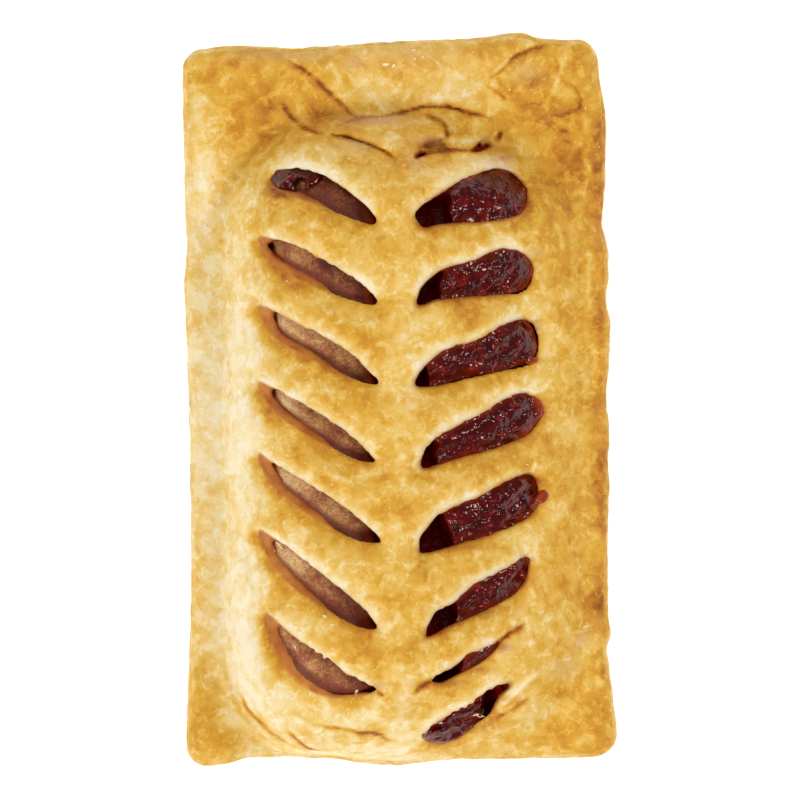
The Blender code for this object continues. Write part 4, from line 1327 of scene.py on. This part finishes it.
# %% Material: set_spiced_tomato_sauce
sauce_material, tree, shader = new_material("set_spiced_tomato_sauce")
place = add(tree, "TexCoord").outputs["Object"]
# Shreds of tomato 1.8 mm wide, under a skin whose finest folds are 0.95 mm wide
bits = noise(tree, place, 1.8, Detail=4.0)
sauce_colour = ramp(tree, bits, (0.3, "#340100"), (0.55, "#520401"), (0.75, "#7c1606"))
sauce_colour = blend(tree, painted(tree, "film"), sauce_colour, "#983410")
# Painted light: a brighter red where the sauce lies deep in the hollow
sauce_colour = blend(tree, painted(tree, "painted_light_in_hollow"), sauce_colour, "#b40e04")
tree.links.new(sauce_colour, shader.inputs["Base Color"])
shader.inputs["Roughness"].default_value = 0.07
shader.inputs["IOR"].default_value = 1.46
shader.inputs["Specular IOR Level"].default_value = 0.33
bumpy(tree, shader, noise(tree, place, 0.95, Detail=1.0), 1.0, 0.00026)

# %% Paint where the sauce is thin, and painted light where it lies deep
places, normals = read_mesh(sauce_mesh)
x, y, z = places.T
out_of_cut = at(right_opening, x, y)
rim = 0.12 + 0.4 * np.maximum(at(behind_cut, x, y), ease((x - 21.0) / 3.0))
below = at(crust, x, y) - z
film_share = rim * ease(1.0 + out_of_cut / 1.1) + 0.5 * ease(out_of_cut / 0.5) * (z > at(crust, x, y) - 0.6)
paint(sauce_mesh, "film", film_share * (x > SAUCE_LEFT))
# Painted light deep below the crust, where little light reaches
paint(sauce_mesh, "painted_light_in_hollow", ease((below - 4.0) / 3.0) * (1.0 - 0.6 * ease((-50.0 - y) / 2.0)))
move_points(sauce_mesh, places * MM)
sauce = new_piece("tomato_sauce", sauce_mesh, "sauce", sauce_material, "sauce")
print("the sauce lies down to", round(float(below.max()), 1), "mm below the crust")

# %% [markdown]
# ## Flakes and crumbs
#
# Puff pastry sheds. The leaves that blistered highest broke as the roll was moved, and lie about as dry
# white chips, with a few thicker crumbs that fell on the filling. Each one is a small curled plate with
# a real thickness, and they are all joined in one mesh.

# %% Lay the flakes
# Each flake: where it lies, its length and width, and which way it points
FLAKES = (
    (-2.9, 64.1, 1.8, 0.7, 8), (-1.3, 63.8, 1.0, 0.8, 60), (4.3, 65.5, 1.1, 0.6, -20),
    (2.8, 65.2, 0.6, 0.4, 0), (2.6, 66.9, 1.4, 0.6, 5), (9.8, 67.2, 1.0, 0.4, 30),
    (20.9, 59.3, 0.6, 0.4, 0), (25.0, 59.3, 0.7, 0.4, 20), (3.4, 61.2, 0.6, 0.4, 70),
    (-22.8, -27.4, 2.2, 0.9, -42), (-14.2, -40.7, 1.3, 0.6, -30), (-12.8, -42.3, 1.1, 0.4, -15),
    (-16.9, 15.4, 0.7, 0.4, 10), (-13.6, 2.0, 1.7, 0.4, -35), (-11.4, -14.3, 1.0, 0.4, -20),
    (-9.6, 45.6, 0.8, 0.4, 0), (-16.9, -55.4, 1.2, 0.7, 80), (7.4, -20.2, 0.9, 0.4, 20),
    (31.8, -49.4, 1.8, 0.4, 15), (35.6, -43.2, 1.8, 0.4, 15), (26.5, -57.9, 0.6, 0.5, 0),
    (-26.0, 18.0, 1.6, 0.5, -30), (-25.8, 4.4, 1.5, 0.4, -40), (-24.8, -39.6, 1.2, 0.3, -40),
    (15.1, -60.1, 2.6, 1.0, -8), (15.9, -59.5, 1.7, 0.9, 80), (14.2, -60.0, 1.2, 0.6, 10),
    (-8.2, -55.2, 0.8, 1.8, -12), (-19.8, -46.6, 0.5, 1.3, 20),
)
SMALL_FLAKES = 46
FLAKE_CORNERS = 9
FLAKE_THICKNESS = 0.2


def resting_height(x, y):
    """Height of the highest surface of the roll at a place, or None past its sides."""
    start = Vector((x * MM, y * MM, 0.05))
    hits = [skin.ray_cast(start, Vector((0.0, 0.0, -1.0)))[0] for skin in skins]
    heights = [hit.z / MM for hit in hits if hit is not None]
    return max(heights) if heights else None


def flake(rng, x, y, length, width, degrees):
    """Corners of one curled plate lying on the roll: its upper ring and its lower ring."""
    angle = np.linspace(0.0, 2.0 * math.pi, FLAKE_CORNERS, endpoint=False)
    reach = rng.uniform(0.4, 1.1, FLAKE_CORNERS) / 2
    u, v = reach * np.cos(angle) * length, reach * np.sin(angle) * width
    curl = 0.3 * (u / length) ** 2 * length + 0.06 * rng.uniform(-1.0, 1.0, FLAKE_CORNERS)
    turn = math.radians(degrees)
    px, py = x + u * math.cos(turn) - v * math.sin(turn), y + u * math.sin(turn) + v * math.cos(turn)
    rest = resting_height(x, y)
    heights = [resting_height(a, b) for a, b in zip(px, py)]
    pz = np.array([rest if height is None else max(height, rest - 0.6) for height in heights]) + curl
    return [np.stack([px, py, pz + rise], axis=1) for rise in (FLAKE_THICKNESS / 2, -FLAKE_THICKNESS)]


graph = bpy.context.evaluated_depsgraph_get()
skins = [BVHTree.FromObject(piece, graph) for piece in (pastry, sausage, sauce)]
rng = np.random.default_rng(121)
laid = list(FLAKES)
while len(laid) < len(FLAKES) + SMALL_FLAKES:
    x, y = rng.uniform(-38.0, 38.0), rng.uniform(-64.0, 64.0)
    if float(at(opening, np.float64(x), np.float64(y))) > 1.0:
        laid.append((x, y, rng.uniform(0.35, 0.7), rng.uniform(0.2, 0.4), rng.uniform(0.0, 180.0)))
points, faces = [], []
for one in laid:
    upper, lower = flake(rng, *one)
    first = len(points)
    points += [*upper.tolist(), *lower.tolist()]
    top_ring = [first + k for k in range(FLAKE_CORNERS)]
    faces.append(top_ring)
    faces.append([k + FLAKE_CORNERS for k in reversed(top_ring)])
    for a, b in zip(top_ring, top_ring[1:] + top_ring[:1]):
        faces.append((a + FLAKE_CORNERS, b + FLAKE_CORNERS, b, a))
flake_mesh = bpy.data.meshes.new("crust_flakes")
flake_mesh.from_pydata((np.array(points) * MM).tolist(), [], faces)
print(len(laid), "flakes and crumbs")

# %% [markdown]
# ### Dry flakes
#
# A leaf of bare crumb that dried out nearly white, with no egg wash on it. It scatters light like chalk,
# so it has almost no highlight and stands out as the palest thing on the crust.

# %% Material: dry_pastry_flake
flake_material, tree, shader = new_material("dry_pastry_flake")
place = add(tree, "TexCoord").outputs["Object"]
# Some flakes toasted more than others, over areas about 6 mm wide
toast = noise(tree, place, 6.0)
flake_colour = ramp(tree, toast, (0.35, "#f0ddb4"), (0.7, "#e6c98e"))
tree.links.new(flake_colour, shader.inputs["Base Color"])
shader.inputs["Roughness"].default_value = 0.75
shader.inputs["IOR"].default_value = 1.45
new_piece("crust_flakes", flake_mesh, "pastry", flake_material)
print("flakes in", len(flake_mesh.vertices), "points")

# %% [markdown]
# ## Table, light and camera
#
# The roll lies on a plain white table that glows a little, as a light table does, under four round soft
# lamps. The strongest stands at the front left, and the others fill in from the right, the back left and
# the front right, with a dim even room around them. The camera looks straight down through a long lens,
# so that all four sides stay square.

# %% Material and mesh: matt_white_light_table
# Opal plastic over a lamp: matt, so nothing is mirrored in it, and lit from within, so shadows stay thin
TABLE_GLOW = 0.5
floor_material, tree, shader = new_material("matt_white_light_table")
shader.inputs["Base Color"].default_value = linear("#fbfbfa")
shader.inputs["Roughness"].default_value = 0.9
shader.inputs["Emission Color"].default_value = linear("#ffffff")
shader.inputs["Emission Strength"].default_value = TABLE_GLOW
floor_mesh = bpy.data.meshes.new("floor")
floor_mesh.from_pydata([(-3, -3, 0), (3, -3, 0), (3, 3, 0), (-3, 3, 0)], [], [(0, 1, 2, 3)])
floor_mesh.materials.append(floor_material)
floor = bpy.data.objects.new("floor", floor_mesh)
floor.location = (0.0, 0.0, -0.0001)
bpy.context.scene.collection.objects.link(floor)
print("table glow:", TABLE_GLOW)

# %% Light
ROOM_LIGHT = 0.26
# Each lamp: where it stands, its width and its power
LAMPS = {
    "front_left": ((-0.75, -0.75, 1.0), 0.42, 9.9),
    "right": ((0.95, 0.3, 0.95), 0.36, 6.5),
    "back_left": ((-0.5, 0.85, 1.05), 0.4, 4.6),
    "front_right": ((0.55, -0.85, 1.05), 0.4, 3.4),
}

for name, (stand, width, watts) in LAMPS.items():
    light = bpy.data.lights.new(name, "AREA")
    light.shape = "DISK"
    light.size = width
    light.energy = watts
    light.color = linear("#fffdf9")[:3]
    lamp = bpy.data.objects.new(name, light)
    lamp.location = stand
    lamp.rotation_mode = "QUATERNION"
    lamp.rotation_quaternion = (-Vector(stand)).to_track_quat("-Z", "Y")
    bpy.context.scene.collection.objects.link(lamp)

world = bpy.data.worlds.new("studio")
bpy.context.scene.world = world
world.use_nodes = True
world.node_tree.nodes["Background"].inputs["Color"].default_value = linear("#fafcff")
world.node_tree.nodes["Background"].inputs["Strength"].default_value = ROOM_LIGHT
bpy.context.scene.view_settings.view_transform = "Standard"
print(len(LAMPS), "lamps of", round(sum(lamp[2] for lamp in LAMPS.values()), 1), "watts in all")

# %% Camera
CAMERA_HEIGHT = 1.2
VIEW_WIDTH = 0.152
SENSOR = 36.0

lens = bpy.data.cameras.new("camera")
lens.sensor_width = SENSOR
lens.lens = SENSOR * (CAMERA_HEIGHT - 0.5 * CREST_HEIGHT * MM) / VIEW_WIDTH
lens.clip_end = 10.0
camera = bpy.data.objects.new("camera", lens)
camera.location = (0.0, 0.0, CAMERA_HEIGHT)
bpy.context.scene.collection.objects.link(camera)
bpy.context.scene.camera = camera
print("lens:", round(lens.lens), "mm")
